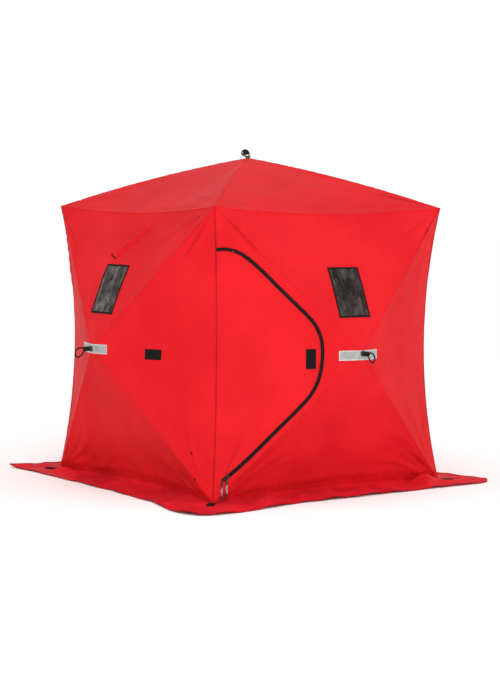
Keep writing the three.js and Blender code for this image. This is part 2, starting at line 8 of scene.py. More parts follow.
import bmesh
import bpy
import numpy as np
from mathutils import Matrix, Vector


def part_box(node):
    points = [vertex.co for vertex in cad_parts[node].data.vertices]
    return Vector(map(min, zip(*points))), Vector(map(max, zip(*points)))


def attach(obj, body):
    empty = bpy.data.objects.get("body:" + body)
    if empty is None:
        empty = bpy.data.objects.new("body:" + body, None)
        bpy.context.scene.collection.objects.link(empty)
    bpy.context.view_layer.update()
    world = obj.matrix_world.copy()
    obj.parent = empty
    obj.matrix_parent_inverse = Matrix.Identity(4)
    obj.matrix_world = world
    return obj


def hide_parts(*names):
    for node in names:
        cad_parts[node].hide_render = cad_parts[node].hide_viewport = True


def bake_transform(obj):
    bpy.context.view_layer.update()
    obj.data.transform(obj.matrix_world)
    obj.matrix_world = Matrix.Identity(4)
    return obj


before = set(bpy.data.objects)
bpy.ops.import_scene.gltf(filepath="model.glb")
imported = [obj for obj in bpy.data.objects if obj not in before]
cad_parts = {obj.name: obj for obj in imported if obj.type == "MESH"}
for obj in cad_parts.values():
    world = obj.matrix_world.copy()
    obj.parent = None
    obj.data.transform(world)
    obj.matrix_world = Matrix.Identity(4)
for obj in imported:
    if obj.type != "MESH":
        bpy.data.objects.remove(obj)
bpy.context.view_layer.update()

# ---- sizes shared with the CAD source ----

HUB_LOW, HUB_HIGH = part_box("hub_front")
HUB_Z = (HUB_LOW.z + HUB_HIGH.z) / 2
BASE_HALF = 0.762
BASE_Z = 0.004
EAVE_HALF = 0.757
EAVE_Z = 1.506
HUB_REACH = 1.018
ROOF_Z = 1.780
CORNER_BOW = 0.060
EAVE_BOW_IN = 0.038
EAVE_BOW_DOWN = 0.037
BASE_BOW_IN = 0.050
BASE_BOW_UP = 0.020
ROOF_POLE_BOW = 0.020
ROPE_RADIUS = 0.004
CENTRE = np.array([0.0, 0.0, HUB_Z])

TURNS = {"front": 0.0, "right": math.pi / 2, "back": math.pi, "left": -math.pi / 2}
SEEDS = {"front": 3, "right": 5, "back": 7, "left": 11, "roof": 13}

# The zip, as distance across the front wall and height, from the upper left to the lower left.
ZIP_LINE = [
    (-0.727, 1.286), (-0.672, 1.288), (-0.612, 1.265), (-0.532, 1.199), (-0.424, 1.090),
    (-0.315, 0.981), (-0.268, 0.934), (-0.231, 0.880), (-0.210, 0.821), (-0.205, 0.760),
    (-0.210, 0.687), (-0.226, 0.620), (-0.253, 0.563), (-0.290, 0.514), (-0.362, 0.440),
    (-0.436, 0.368), (-0.541, 0.264), (-0.640, 0.172), (-0.706, 0.117),
]
FOLD_ACROSS = -0.690
FLAP_LOW = 0.168
TAPE_TOP = 0.0035

# Half a window's width, and the heights of its lower and upper edges.
WINDOW_HALF = 0.092
WINDOW_LOW = 0.944
WINDOW_HIGH = 1.186


def turned(points, angle):
    """Points turned about the vertical axis through the origin."""
    c, s = math.cos(angle), math.sin(angle)
    turn = np.array([[c, -s, 0.0], [s, c, 0.0], [0.0, 0.0, 1.0]])
    return np.asarray(points, float) @ turn.T


def smooth(value):
    """0 below 0, 1 above 1, and an even rise between them."""
    share = np.clip(value, 0.0, 1.0)
    return share * share * (3 - 2 * share)


def catmull(points, count, closed=False):
    """count points along a smooth curve through the given ones."""
    points = np.asarray(points, float)
    size = len(points)
    spans = size if closed else size - 1
    places = np.linspace(0, spans, count, endpoint=not closed)
    index = np.minimum(places.astype(int), spans - 1)
    share = (places - index)[:, None]

    def at(shift):
        wanted = index + shift
        return points[wanted % size] if closed else points[np.clip(wanted, 0, size - 1)]

    before, start, end, after = at(-1), at(0), at(1), at(2)
    return 0.5 * (
        2 * start
        + (end - before) * share
        + (2 * before - 5 * start + 4 * end - after) * share**2
        + (3 * start - before - 3 * end + after) * share**3
    )


# ---- the five stretched faces ----

WALL_EDGES = [
    ((-EAVE_HALF, -EAVE_HALF, EAVE_Z), (-BASE_HALF, -BASE_HALF, BASE_Z), (CORNER_BOW, CORNER_BOW, 0)),
    ((-BASE_HALF, -BASE_HALF, BASE_Z), (BASE_HALF, -BASE_HALF, BASE_Z), (0, BASE_BOW_IN, BASE_BOW_UP)),
    ((BASE_HALF, -BASE_HALF, BASE_Z), (EAVE_HALF, -EAVE_HALF, EAVE_Z), (-CORNER_BOW, CORNER_BOW, 0)),
    ((EAVE_HALF, -EAVE_HALF, EAVE_Z), (-EAVE_HALF, -EAVE_HALF, EAVE_Z), (0, EAVE_BOW_IN, -EAVE_BOW_DOWN)),
]
EAVE = [(-EAVE_HALF, -EAVE_HALF, EAVE_Z), (EAVE_HALF, -EAVE_HALF, EAVE_Z), (0, EAVE_BOW_IN, -EAVE_BOW_DOWN)]


def make_face(name):
    """A wall or the roof: its hub's place, its four edges (left, bottom, right, top) and its way out."""
    if name == "roof":
        edges = [turned(EAVE, TURNS[side]) for side in ("left", "front", "right", "back")]
        return {"name": name, "apex": np.array([0, 0, ROOF_Z]), "edges": edges, "out": np.array([0, 0, 1.0])}
    edges = [turned(edge, TURNS[name]) for edge in WALL_EDGES]
    apex = turned((0, -HUB_REACH, HUB_Z), TURNS[name])
    return {"name": name, "apex": apex, "edges": edges, "out": turned((0, -1, 0), TURNS[name])}


FACES = {name: make_face(name) for name in (*TURNS, "roof")}


def base_points(face, p, q):
    """The CAD's outer face at p and q."""
    places = [(-p, -q), (-q, p), (p, q), (q, -p)]
    points = np.zeros(p.shape + (3,))
    away_all = np.stack([away for away, _ in places])
    nearest = np.argmax(away_all, axis=0)
    for k, (away, along) in enumerate(places):
        first, last, bow = face["edges"][k]
        u, v = (away - along) / 2, (away + along) / 2
        here = (1 - away)[..., None] * face["apex"] + u[..., None] * first + v[..., None] * last
        here = here + (4 * u * v)[..., None] * bow
        if face["name"] == "roof":
            rise = 4 * (1 - away) * (u * u + v * v) / np.maximum(away, 1e-9) * ROOF_POLE_BOW
            here[..., 2] += rise
        points = np.where((nearest == k)[..., None], here, points)
    return points


def outwards(points):
    """Unit directions from the shelter's middle."""
    away = points - CENTRE
    return away / np.linalg.norm(away, axis=-1, keepdims=True)


def waves(seed, x, y, finest, count=7):
    """A gentle uneven field of about -1 to 1 with features from 1 / finest upwards."""
    random = np.random.default_rng(seed)
    total = np.zeros(np.shape(x))
    for _ in range(count):
        angle, phase = random.uniform(0, 2 * math.pi, 2)
        rate = random.uniform(0.35, 1.0) * finest * 2 * math.pi
        total += np.sin(rate * (x * math.cos(angle) + y * math.sin(angle)) + phase)
    return total / math.sqrt(count)


def ridged(value, sharp=1.6):
    """Turns a phase into narrow ridges between broad hollows, with a mean near 0."""
    return (1 - np.abs(np.sin(value))) ** sharp - 0.3


def zip_distance(p, q):
    """Distance, in shares of a half wall, from the zip and the flap's straight edges."""
    return np.abs(signed_distance(FLAP_SHARES, p, q))


def signed_distance(loop, x, y):
    """Distance of points from a closed outline, below 0 inside."""
    shape = np.shape(x)
    spots = np.stack([np.ravel(x), np.ravel(y)], axis=1)
    nearest = np.full(len(spots), 1e9)
    inside = np.zeros(len(spots), bool)
    for start, end in zip(loop, np.roll(loop, -1, axis=0)):
        step = end - start
        share = np.clip(((spots - start) @ step) / max(step @ step, 1e-12), 0, 1)
        nearest = np.minimum(nearest, np.linalg.norm(spots - start - share[:, None] * step, axis=1))
        if start[1] != end[1]:
            crosses = (start[1] > spots[:, 1]) != (end[1] > spots[:, 1])
            at = start[0] + (spots[:, 1] - start[1]) / (end[1] - start[1]) * step[0]
            inside ^= crosses & (spots[:, 0] < at)
    return np.where(inside, -nearest, nearest).reshape(shape)


def shares_of(across, height):
    """The front wall's p and q for places given as distance across and height."""
    p = np.asarray(across, float) / BASE_HALF
    q = (np.asarray(height, float) - HUB_Z) / (EAVE_Z - HUB_Z)
    for _ in range(12):
        there = base_points(FACES["front"], p, q)
        p = p + (across - there[..., 0]) / BASE_HALF
        q = q + (height - there[..., 2]) / (EAVE_Z - HUB_Z)
    return p, q


def flap_outline():
    """The flap's closed outline as distance across and height: its zip, then its low and folded edges."""
    line = catmull(ZIP_LINE, 240)
    line = line[(line[:, 0] > FOLD_ACROSS) & (line[:, 1] > FLAP_LOW)]
    top = [FOLD_ACROSS, line[0][1]]
    side = [(FOLD_ACROSS, height) for height in np.linspace(FLAP_LOW, top[1], 24)]
    return np.vstack([line, side])


FLAP_LINE = flap_outline()
FLAP_SHARES = np.stack(shares_of(FLAP_LINE[:, 0], FLAP_LINE[:, 1]), axis=1)


def window_outline(grow=0.0):
    """A window's corners as p and q."""
    half = WINDOW_HALF + grow
    low, high = WINDOW_LOW - grow, WINDOW_HIGH + grow
    across = np.array([-half, half, half, -half])
    height = np.array([low, low, high, high])
    return np.stack(shares_of(across, height), axis=1)


# ---- folds of the fabric ----

FOLD_EDGE = 0.08
CORNERS = ((-1, -1), (1, -1), (1, 1), (-1, 1))
CREASE_DEPTH = 0.0050
POCKET_CLEAR = 0.14
POCKET_DEEPEST = 0.0012
OPEN_DEEPEST = 0.0092
BASE_FOLD_DEPTH = 0.0100
EAVE_FOLD_DEPTH = 0.0085
ROOF_FOLD_DEPTH = 0.0050
BASE_PUFF = 0.0070
BASE_PUFF_HEIGHT = 0.055
HUB_CREASES = ((-0.085, 0.10, 0.0020), (0.075, -0.05, 0.0024))


def corner_folds(seed, p, q, corner, reach, depth):
    """Sharp folds that fan out from one corner, broad ones with finer ones between."""
    dx, dy = corner[0] - p, corner[1] - q
    distance = np.hypot(dx, dy) + 1e-6
    angle = np.arctan2(dy * corner[1], dx * corner[0])
    wander = waves(seed, p, q, 1.2)
    broad = ridged(angle * 8.5 + 0.9 * wander + seed, 2.3)
    fine = ridged(angle * 19 + 1.3 * wander, 2.0)
    window = smooth(distance / 0.12) * (1 - smooth((distance - 0.25 * reach) / (0.75 * reach)))
    return depth * (broad + 0.45 * fine) * window


def creases(face, p, q):
    """How far into a narrow crease that runs from a corner each place lies, from 0 to 1. It sets how deep each
    crease is and how much painted shade it gets.
    """
    seed = SEEDS[face["name"]]
    total = np.zeros(np.shape(p))
    for k, corner in enumerate(CORNERS):
        dx, dy = corner[0] - p, corner[1] - q
        distance = np.hypot(dx, dy) + 1e-6
        angle = np.arctan2(dy * corner[1], dx * corner[0])
        wander = waves(seed + k, p, q, 0.9)
        lines = (1 - np.abs(np.sin(angle * 9.0 + 0.8 * wander + seed + k))) ** 2.2
        uneven = smooth(0.55 + 0.6 * waves(seed + 60 + k, angle * 2.2, 0 * angle, 1.0))
        window = smooth(distance / 0.07) * (1 - smooth((distance - 0.16) / 0.46))
        total += lines * uneven * window
    return np.clip(total, 0, 1)


def seam_puckers(seed, along, distance, pitch, depth, reach):
    """Short folds across a seam that fade out away from it."""
    wander = waves(seed, along, along * 0, 4.0)
    return depth * np.sin(along / pitch * 2 * math.pi + 1.6 * wander) * np.exp(-distance / reach)


def wall_folds(p, q):
    """What only a wall has: a puff just above its base seam and two short creases under its hub."""
    size = BASE_HALF
    above_base = (1 + q) * size
    puff = BASE_PUFF * np.exp(-(((above_base - BASE_PUFF_HEIGHT) / 0.028) ** 2))
    below_hub = smooth(-q / 0.12) * (1 - smooth((-q - 0.16) / 0.26))
    for place, lean, depth in HUB_CREASES:
        line = p - place - lean * (q + 0.1)
        puff = puff + depth * np.exp(-((line * size / 0.017) ** 2)) * below_hub
    return puff


def folds(face, p, q):
    """How far the fabric stands off its smooth face at p and q."""
    seed = SEEDS[face["name"]]
    size = BASE_HALF
    is_roof = face["name"] == "roof"
    edge = 1 - np.maximum(np.abs(p), np.abs(q))
    ridge = np.abs(np.abs(p) - np.abs(q)) * size
    off_ridge = smooth(ridge / 0.10)
    total = 0.0040 * waves(seed, p, q, 1.3) * off_ridge
    total += 0.0018 * waves(seed + 50, p, q, 4.5) * smooth(ridge / 0.04)
    for k, corner in enumerate(CORNERS):
        depth = ROOF_FOLD_DEPTH
        if not is_roof:
            depth = BASE_FOLD_DEPTH if corner[1] < 0 else EAVE_FOLD_DEPTH
        total += corner_folds(seed + k, p, q, corner, 1.05, depth) * (0.25 + 0.75 * off_ridge)
    along_ridge = np.maximum(np.abs(p), np.abs(q)) * size
    pucker = 0.0005 if is_roof else 0.0012
    total += seam_puckers(seed + 20, along_ridge + np.sign(p * q) * 0.2, ridge, 0.052, pucker, 0.022)
    total += seam_puckers(seed + 21, p * size, (1 + q) * size, 0.075, 0.0016 if is_roof else 0.0042, 0.07)
    total += seam_puckers(seed + 22, p * size, (1 - q) * size, 0.060, 0.0016, 0.05)
    total += seam_puckers(seed + 23, q * size, (1 - np.abs(p)) * size, 0.060, 0.0016, 0.05)
    total -= CREASE_DEPTH * creases(face, p, q)
    if not is_roof:
        total += wall_folds(p, q)
    to_corner = np.hypot(1 - np.abs(p), 1 - np.abs(q)) * size
    deepest = POCKET_DEEPEST + (OPEN_DEEPEST - POCKET_DEEPEST) * smooth((to_corner - POCKET_CLEAR) / 0.08)
    total = np.maximum(total, -deepest)
    window = smooth(edge / FOLD_EDGE) * smooth((1 - edge) / 0.07)
    if face["name"] == "front":
        window = window * smooth((zip_distance(p, q) * size - 0.012) / 0.05)
    return total * window


def face_points(face, p, q, lift=0.0):
    """The fabric's outer face at p and q with its folds, moved outwards by lift."""
    p, q = np.asarray(p, float), np.asarray(q, float)
    base = base_points(face, p, q)
    return base + outwards(base) * (folds(face, p, q) + lift)[..., None]


# ---- materials ----

class Shader:
    """A material's node tree, with short ways to add nodes and join them."""

    def __init__(self, name):
        self.material = bpy.data.materials.new(name)
        self.material.use_nodes = True
        self.tree = self.material.node_tree
        self.surface = self.tree.nodes["Principled BSDF"]
        self.place = self.tree.nodes.new("ShaderNodeTexCoord").outputs["Object"]

    def node(self, kind, inputs=None, **settings):
        made = self.tree.nodes.new(kind)
        for key, value in settings.items():
            setattr(made, key, value)
        for key, value in (inputs or {}).items():
            self.join(value, made.inputs[key])
        return made

    def join(self, value, socket):
        if isinstance(value, bpy.types.NodeSocket):
            self.tree.links.new(value, socket)
        else:
            socket.default_value = value

    def set(self, **values):
        for key, value in values.items():
            self.join(value, self.surface.inputs[key.replace("_", " ")])
        return self

    def noise(self, scale, detail=3.0, rough=0.55, stretch=None):
        place = self.place
        if stretch:
            place = self.node("ShaderNodeMapping", {"Vector": place, "Scale": stretch}).outputs[0]
        found = self.node("ShaderNodeTexNoise", {"Vector": place, "Scale": scale, "Detail": detail})
        found.inputs["Roughness"].default_value = rough
        return found.outputs["Fac"]

    def wave(self, scale, direction, distortion=0.0):
        made = self.node("ShaderNodeTexWave", {"Vector": self.place, "Scale": scale, "Distortion": distortion})
        made.bands_direction = direction
        return made.outputs["Fac"]

    def attribute(self, name):
        return self.node("ShaderNodeAttribute", attribute_name=name).outputs["Fac"]

    def math(self, operation, a, b=0.0):
        made = self.node("ShaderNodeMath", operation=operation)
        self.join(a, made.inputs[0])
        self.join(b, made.inputs[1])
        return made.outputs[0]

    def ramp(self, value, low, high):
        """0 where value is at most low, 1 where it is at least high."""
        made = self.node("ShaderNodeMapRange", {"Value": value, "From Min": low, "From Max": high})
        return made.outputs[0]

    def mix(self, share, first, second):
        made = self.node("ShaderNodeMix", data_type="RGBA")
        self.join(share, made.inputs["Factor"])
        self.join(first, made.inputs[6])
        self.join(second, made.inputs[7])
        return made.outputs[2]

    def bump(self, height, distance, strength=1.0, normal=None):
        made = self.node("ShaderNodeBump", {"Height": height, "Distance": distance, "Strength": strength})
        if normal is not None:
            self.join(normal, made.inputs["Normal"])
        return made.outputs[0]


def weave(shader, pitch):
    """A plain weave's height, from crossed threads."""
    rate = 1 / (pitch * 3.2)
    threads = [shader.wave(rate, direction) for direction in ("X", "Y", "Z")]
    crossed = shader.math("MULTIPLY", threads[0], threads[2])
    return shader.math("ADD", crossed, shader.math("MULTIPLY", threads[1], threads[2]))


def fabric_material(name, light, dark, seam=False):
    """Coated woven polyester: uneven dye, painted shade in its creases, crush marks, weave and, where asked, sewn
    pole seams.
    """
    shader = Shader(name)
    patches = shader.noise(3.2, 4.0)
    colour = shader.mix(shader.ramp(patches, 0.35, 0.68), dark, light)
    # Painted shade: inside the creases the colour is mixed up to 62% of the way to a third of the dark red.
    shadow = (dark[0] * 0.30, dark[1] * 0.30, dark[2] * 0.30, 1)
    crease_shade = shader.ramp(shader.attribute("crease_shade"), 0.12, 0.95)
    colour = shader.mix(shader.math("MULTIPLY", crease_shade, 0.62), colour, shadow)
    crush = shader.noise(21.0, 6.0, 0.62)
    rough = shader.math("ADD", 0.50, shader.math("MULTIPLY", crush, 0.18))
    normal = shader.bump(shader.noise(9.0, 5.0, 0.6), 0.004, 0.35)
    normal = shader.bump(shader.noise(46.0, 3.0), 0.0012, 0.35, normal)
    normal = shader.bump(weave(shader, 0.0011), 0.00025, 0.5, normal)
    if seam:
        distance = shader.attribute("seam")
        stitch = shader.math("SUBTRACT", 1.0, shader.ramp(distance, 0.0006, 0.0022))
        flat = shader.math("SUBTRACT", 1.0, shader.ramp(distance, 0.009, 0.011))
        colour = shader.mix(shader.math("MULTIPLY", flat, 0.10), colour, dark)
        deep = (dark[0] * 0.35, dark[1] * 0.35, dark[2] * 0.35, 1)
        colour = shader.mix(shader.math("MULTIPLY", stitch, 0.22), colour, deep)
        normal = shader.bump(flat, 0.0012, 0.9, normal)
    shader.set(Base_Color=colour, Roughness=rough, Normal=normal)
    shader.set(Sheen_Weight=0.01, Sheen_Roughness=0.45, Specular_IOR_Level=0.05)
    return shader.material


def webbing_material(name, light, dark):
    """Narrow woven tape with ribs."""
    shader = Shader(name)
    ribs = shader.wave(180.0, "DIAGONAL")
    colour = shader.mix(shader.math("MULTIPLY", ribs, 0.6), dark, light)
    normal = shader.bump(ribs, 0.0006, 0.7)
    normal = shader.bump(shader.noise(300.0, 2.0), 0.0004, 0.5, normal)
    shader.set(Base_Color=colour, Roughness=0.85, Normal=normal, Specular_IOR_Level=0.12)
    return shader.material


def moulded_material(name, colour, worn, rough):
    """Moulded nylon with a fine spark texture and paler worn spots."""
    shader = Shader(name)
    spots = shader.ramp(shader.noise(38.0, 5.0, 0.65), 0.56, 0.76)
    shader.set(Base_Color=shader.mix(shader.math("MULTIPLY", spots, 0.5), colour, worn))
    rougher = shader.math("ADD", rough, shader.math("MULTIPLY", shader.noise(90.0), 0.18))
    shader.set(Roughness=rougher, Normal=shader.bump(shader.noise(900.0, 2.0), 0.0002, 0.45))
    return shader.material


def fibreglass_material():
    """Pultruded rod: pale, slightly glossy, with fine streaks and grubby patches."""
    shader = Shader("fibreglass_rod")
    streaks = shader.noise(60.0, 4.0, 0.6)
    grime = shader.ramp(shader.noise(6.0, 5.0, 0.6), 0.52, 0.74)
    colour = shader.mix(streaks, (0.60, 0.56, 0.45, 1), (0.78, 0.75, 0.66, 1))
    colour = shader.mix(shader.math("MULTIPLY", grime, 0.35), colour, (0.22, 0.20, 0.17, 1))
    shader.set(Base_Color=colour, Roughness=0.34, Coat_Weight=0.35, Coat_Roughness=0.15)
    shader.set(Normal=shader.bump(streaks, 0.0004, 0.4))
    return shader.material


def vinyl_material(name, colour, milky):
    """Crinkled clear vinyl, milky along its creases."""
    shader = Shader(name)
    creases = shader.noise(25.0, 6.0, 0.66, (1.0, 1.0, 0.20))
    shade = shader.mix(shader.ramp(creases, 0.42, 0.66), colour, milky)
    alpha = shader.math("ADD", 0.52, shader.math("MULTIPLY", shader.ramp(creases, 0.40, 0.70), 0.36))
    normal = shader.bump(creases, 0.012, 0.8)
    normal = shader.bump(shader.noise(70.0, 3.0, 0.6, (1.0, 1.0, 0.35)), 0.0016, 0.5, normal)
    shader.set(Base_Color=shade, Alpha=alpha, Normal=normal, Roughness=0.22, Coat_Weight=0.12)
    shader.set(Coat_Roughness=0.1, IOR=1.5, Specular_IOR_Level=0.16)
    return shader.material


def strip_material():
    """Grey reflective ribbon with a paler stitched border."""
    shader = Shader("reflective_ribbon")
    edge = shader.attribute("border")
    inner = shader.mix(shader.noise(30.0, 4.0), (0.26, 0.27, 0.26, 1), (0.38, 0.39, 0.37, 1))
    border = shader.math("SUBTRACT", 1.0, shader.ramp(edge, 0.0048, 0.0058))
    colour = shader.mix(border, inner, (0.50, 0.51, 0.49, 1))
    normal = shader.bump(shader.wave(260.0, "DIAGONAL"), 0.0003, 0.5)
    normal = shader.bump(shader.math("MULTIPLY", border, shader.wave(120.0, "X")), 0.0008, 0.7, normal)
    shader.set(Base_Color=colour, Roughness=0.42, Metallic=0.25, Normal=normal)
    return shader.material


def hook_material():
    """Black hook-and-loop pile."""
    shader = Shader("hook_and_loop")
    pile = shader.noise(420.0, 3.0, 0.7)
    shader.set(Base_Color=shader.mix(pile, (0.003, 0.003, 0.003, 1), (0.014, 0.013, 0.013, 1)))
    shader.set(Roughness=0.95, Normal=shader.bump(pile, 0.0016, 0.9), Specular_IOR_Level=0.08)
    return shader.material


def cord_material():
    """Black braided cord."""
    shader = Shader("braided_cord")
    first = shader.wave(190.0, "DIAGONAL", 1.5)
    second = shader.wave(190.0, "X", 1.5)
    braid = shader.math("MAXIMUM", first, second)
    shader.set(Base_Color=shader.mix(braid, (0.003, 0.003, 0.003, 1), (0.018, 0.018, 0.019, 1)))
    shader.set(Roughness=0.8, Normal=shader.bump(braid, 0.0009, 0.8), Specular_IOR_Level=0.15)
    return shader.material


def pull_material(name, node):
    """A black pull with a mottled grey strip along its middle part."""
    low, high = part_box(node)
    shader = Shader(name)
    height = shader.node("ShaderNodeSeparateXYZ", {"Vector": shader.place}).outputs["Z"]
    length = high.z - low.z
    above = shader.ramp(height, low.z + 0.27 * length, low.z + 0.29 * length)
    below = shader.ramp(height, low.z + 0.71 * length, low.z + 0.69 * length)
    grain = shader.noise(260.0, 3.0)
    mottle = shader.ramp(shader.noise(75.0, 4.0, 0.7), 0.40, 0.62)
    black = shader.mix(grain, (0.004, 0.004, 0.004, 1), (0.016, 0.016, 0.017, 1))
    pale = shader.mix(mottle, (0.06, 0.06, 0.06, 1), (0.40, 0.40, 0.39, 1))
    shader.set(Base_Color=shader.mix(shader.math("MULTIPLY", above, below), black, pale))
    shader.set(Roughness=0.5, Normal=shader.bump(grain, 0.0004, 0.5))
    return shader.material


RED = (0.655, 0.0115, 0.0165, 1)
DEEP_RED = (0.575, 0.0085, 0.013, 1)
wall_cloth = fabric_material("wall_cloth", RED, DEEP_RED, seam=True)
door_cloth = fabric_material("door_cloth", RED, DEEP_RED)
skirt_cloth = fabric_material("skirt_cloth", (0.70, 0.010, 0.022, 1), (0.50, 0.006, 0.014, 1))
# Painted shade: a darker red than the wall cloth, for the corner and base seams and the skirt's hem.
shaded_seam_cloth = fabric_material("shaded_seam_cloth", (0.52, 0.006, 0.014, 1), (0.34, 0.004, 0.010, 1))
webbing = webbing_material("black_webbing", (0.016, 0.015, 0.015, 1), (0.004, 0.004, 0.004, 1))
zip_tape = webbing_material("zip_tape", (0.012, 0.011, 0.011, 1), (0.003, 0.003, 0.003, 1))
nylon = moulded_material("moulded_nylon", (0.018, 0.018, 0.019, 1), (0.075, 0.075, 0.078, 1), 0.42)
zip_plastic = moulded_material("zip_plastic", (0.006, 0.006, 0.006, 1), (0.045, 0.045, 0.048, 1), 0.32)
rod = fibreglass_material()
front_vinyl = vinyl_material("vinyl_front", (0.011, 0.009, 0.008, 1), (0.080, 0.066, 0.062, 1))
left_vinyl = vinyl_material("vinyl_left", (0.030, 0.026, 0.024, 1), (0.17, 0.150, 0.140, 1))
ribbon_grey = strip_material()
hook = hook_material()
braid = cord_material()

# ---- mesh building ----


def make_object(name, points, polygons, material, attributes=None, normals=None):
    """A smooth mesh object from arrays, with per-point attributes."""
    mesh = bpy.data.meshes.new(name)
    mesh.from_pydata([tuple(point) for point in points], [], [tuple(face) for face in polygons])
    mesh.polygons.foreach_set("use_smooth", [True] * len(mesh.polygons))
    for key, values in (attributes or {}).items():
        layer = mesh.attributes.new(key, "FLOAT", "POINT")
        layer.data.foreach_set("value", np.asarray(values, np.float32))
    if normals is not None:
        mesh.normals_split_custom_set_from_vertices([tuple(normal) for normal in normals])
    mesh.materials.append(material)
    mesh.update()
    obj = bpy.data.objects.new(name, mesh)
    bpy.context.scene.collection.objects.link(obj)
    return obj


def grid_faces(rows, columns):
    """The four-sided faces of a grid of points laid out row by row."""
    index = np.arange(rows * columns).reshape(rows, columns)
    corners = [index[:-1, :-1], index[:-1, 1:], index[1:, 1:], index[1:, :-1]]
    return np.stack([corner.ravel() for corner in corners], axis=1)


def point_normals(points, polygons):
    """Each point's normal, averaged over the faces round it by their size."""
    points = np.asarray(points)
    a, b, c, d = (points[polygons[:, k]] for k in range(4))
    across = np.cross(c - a, d - b)
    total = np.zeros_like(points)
    for k in range(4):
        np.add.at(total, polygons[:, k], across)
    return total / np.maximum(np.linalg.norm(total, axis=1, keepdims=True), 1e-12)


def tube(name, path, radius, material, sides=8, closed=False):
    """A round tube of one radius, or of one radius for each point, along a path."""
    path = np.asarray(path, float)
    count = len(path)
    radii = np.broadcast_to(radius, (count,))
    ahead = np.roll(path, -1, 0) if closed else np.vstack([path[1:], 2 * path[-1] - path[-2]])
    behind = np.roll(path, 1, 0) if closed else np.vstack([2 * path[0] - path[1], path[:-1]])
    tangents = ahead - behind
    tangents /= np.linalg.norm(tangents, axis=1, keepdims=True)
    side = np.cross(tangents[0], (0, 0, 1.0))
    if np.linalg.norm(side) < 0.1:
        side = np.cross(tangents[0], (1.0, 0, 0))
    points = []
    for k in range(count):
        side = side - (side @ tangents[k]) * tangents[k]
        side /= np.linalg.norm(side)
        up = np.cross(tangents[k], side)
        for turn in range(sides):
            angle = 2 * math.pi * turn / sides
            points.append(path[k] + radii[k] * (math.cos(angle) * side + math.sin(angle) * up))
    polygons = []
    for k in range(count if closed else count - 1):
        for turn in range(sides):
            nearby = (turn + 1) % sides
            first, second = k * sides, ((k + 1) % count) * sides
            polygons.append((first + turn, second + turn, second + nearby, first + nearby))
    if not closed:
        polygons.append(tuple(range(sides)))
        polygons.append(tuple((count - 1) * sides + turn for turn in reversed(range(sides))))
    return make_object(name, points, polygons, material)


# ---- pieces cut into bands between a face's corners and its hub ----

# Shares of the way from a face's corners to its hub at which the fabric is cut into bands.
BAND_EDGES = (0.0, 0.13, 0.83, 1.0)
BAND_NAMES = ("rim", "middle", "crown")


def level(face, share):
    """The point on a face's axis that lies this share of the way from its corners to its hub."""
    apex, out = face["apex"], face["out"]
    rim = EAVE_Z if face["name"] == "roof" else BASE_HALF
    depth = rim + share * (apex @ out - rim)
    return out * depth + (apex - out * (apex @ out))


def blend_band(obj):
    """Bakes a piece's placement into its points and does not bend it.
    """
    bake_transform(obj)


def band_pieces(name, face, points, polygons, material, attributes=None):
    """Cuts a piece at the bands' edges and bakes each part in place. Returns the parts by band name."""
    normals = point_normals(points, polygons)
    made = {}
    for band, band_name in enumerate(BAND_NAMES):
        sheet = bmesh.new()
        layers = {key: sheet.verts.layers.float.new(key) for key in (attributes or {})}
        shade = sheet.verts.layers.float_vector.new("shade")
        verts = [sheet.verts.new(tuple(point)) for point in points]
        for k, vert in enumerate(verts):
            vert[shade] = Vector(normals[k])
            for key, layer in layers.items():
                vert[layer] = float(attributes[key][k])
        for polygon in polygons:
            sheet.faces.new([verts[k] for k in polygon])
        for edge, outer in ((band, False), (band + 1, True)):
            if edge in (0, len(BAND_NAMES)):
                continue
            everything = [*sheet.verts, *sheet.edges, *sheet.faces]
            bmesh.ops.bisect_plane(
                sheet, geom=everything, dist=1e-7,
                plane_co=tuple(level(face, BAND_EDGES[edge])), plane_no=tuple(face["out"]),
                clear_outer=outer, clear_inner=not outer,
            )
        loose = [vert for vert in sheet.verts if not vert.link_faces]
        bmesh.ops.delete(sheet, geom=loose, context="VERTS")
        if sheet.faces:
            sheet.verts.index_update()
            kept = list(sheet.verts)
            part = make_object(
                f"{name}_{band_name}",
                [vert.co for vert in kept],
                [[vert.index for vert in polygon.verts] for polygon in sheet.faces],
                material,
                {key: [vert[layer] for vert in kept] for key, layer in layers.items()},
                [vert[shade].normalized() for vert in kept],
            )
            blend_band(part)
            made[band_name] = part
        sheet.free()
    return made


# ---- camera and ropes ----

CAMERA_PLACE = (-6.102, -8.368, 1.483)
CAMERA_AZIMUTH = math.radians(-36.2)
CAMERA_ELEVATION = math.radians(3.91)
CAMERA_ROLL = math.radians(0.36)


def add_camera():
    """The camera, fitted to the photograph's viewing angle."""
    data = bpy.data.cameras.new("camera")
    data.lens = 98.6
    data.sensor_width = 36.0
    camera = bpy.data.objects.new("camera", data)
    bpy.context.scene.collection.objects.link(camera)
    level_part = math.cos(CAMERA_ELEVATION)
    back = Vector((
        math.sin(CAMERA_AZIMUTH) * level_part,
        -math.cos(CAMERA_AZIMUTH) * level_part,
        math.sin(CAMERA_ELEVATION),
    ))
    aim = (-back).to_track_quat("-Z", "Y").to_matrix()
    right, up = aim.col[0].copy(), aim.col[1].copy()
    rolled = right * math.cos(CAMERA_ROLL) + up * math.sin(CAMERA_ROLL)
    above = up * math.cos(CAMERA_ROLL) - right * math.sin(CAMERA_ROLL)
    for k, axis in enumerate((rolled, above, back)):
        aim.col[k] = axis
    camera.matrix_world = aim.to_4x4()
    camera.location = CAMERA_PLACE
    bpy.context.scene.camera = camera


add_camera()

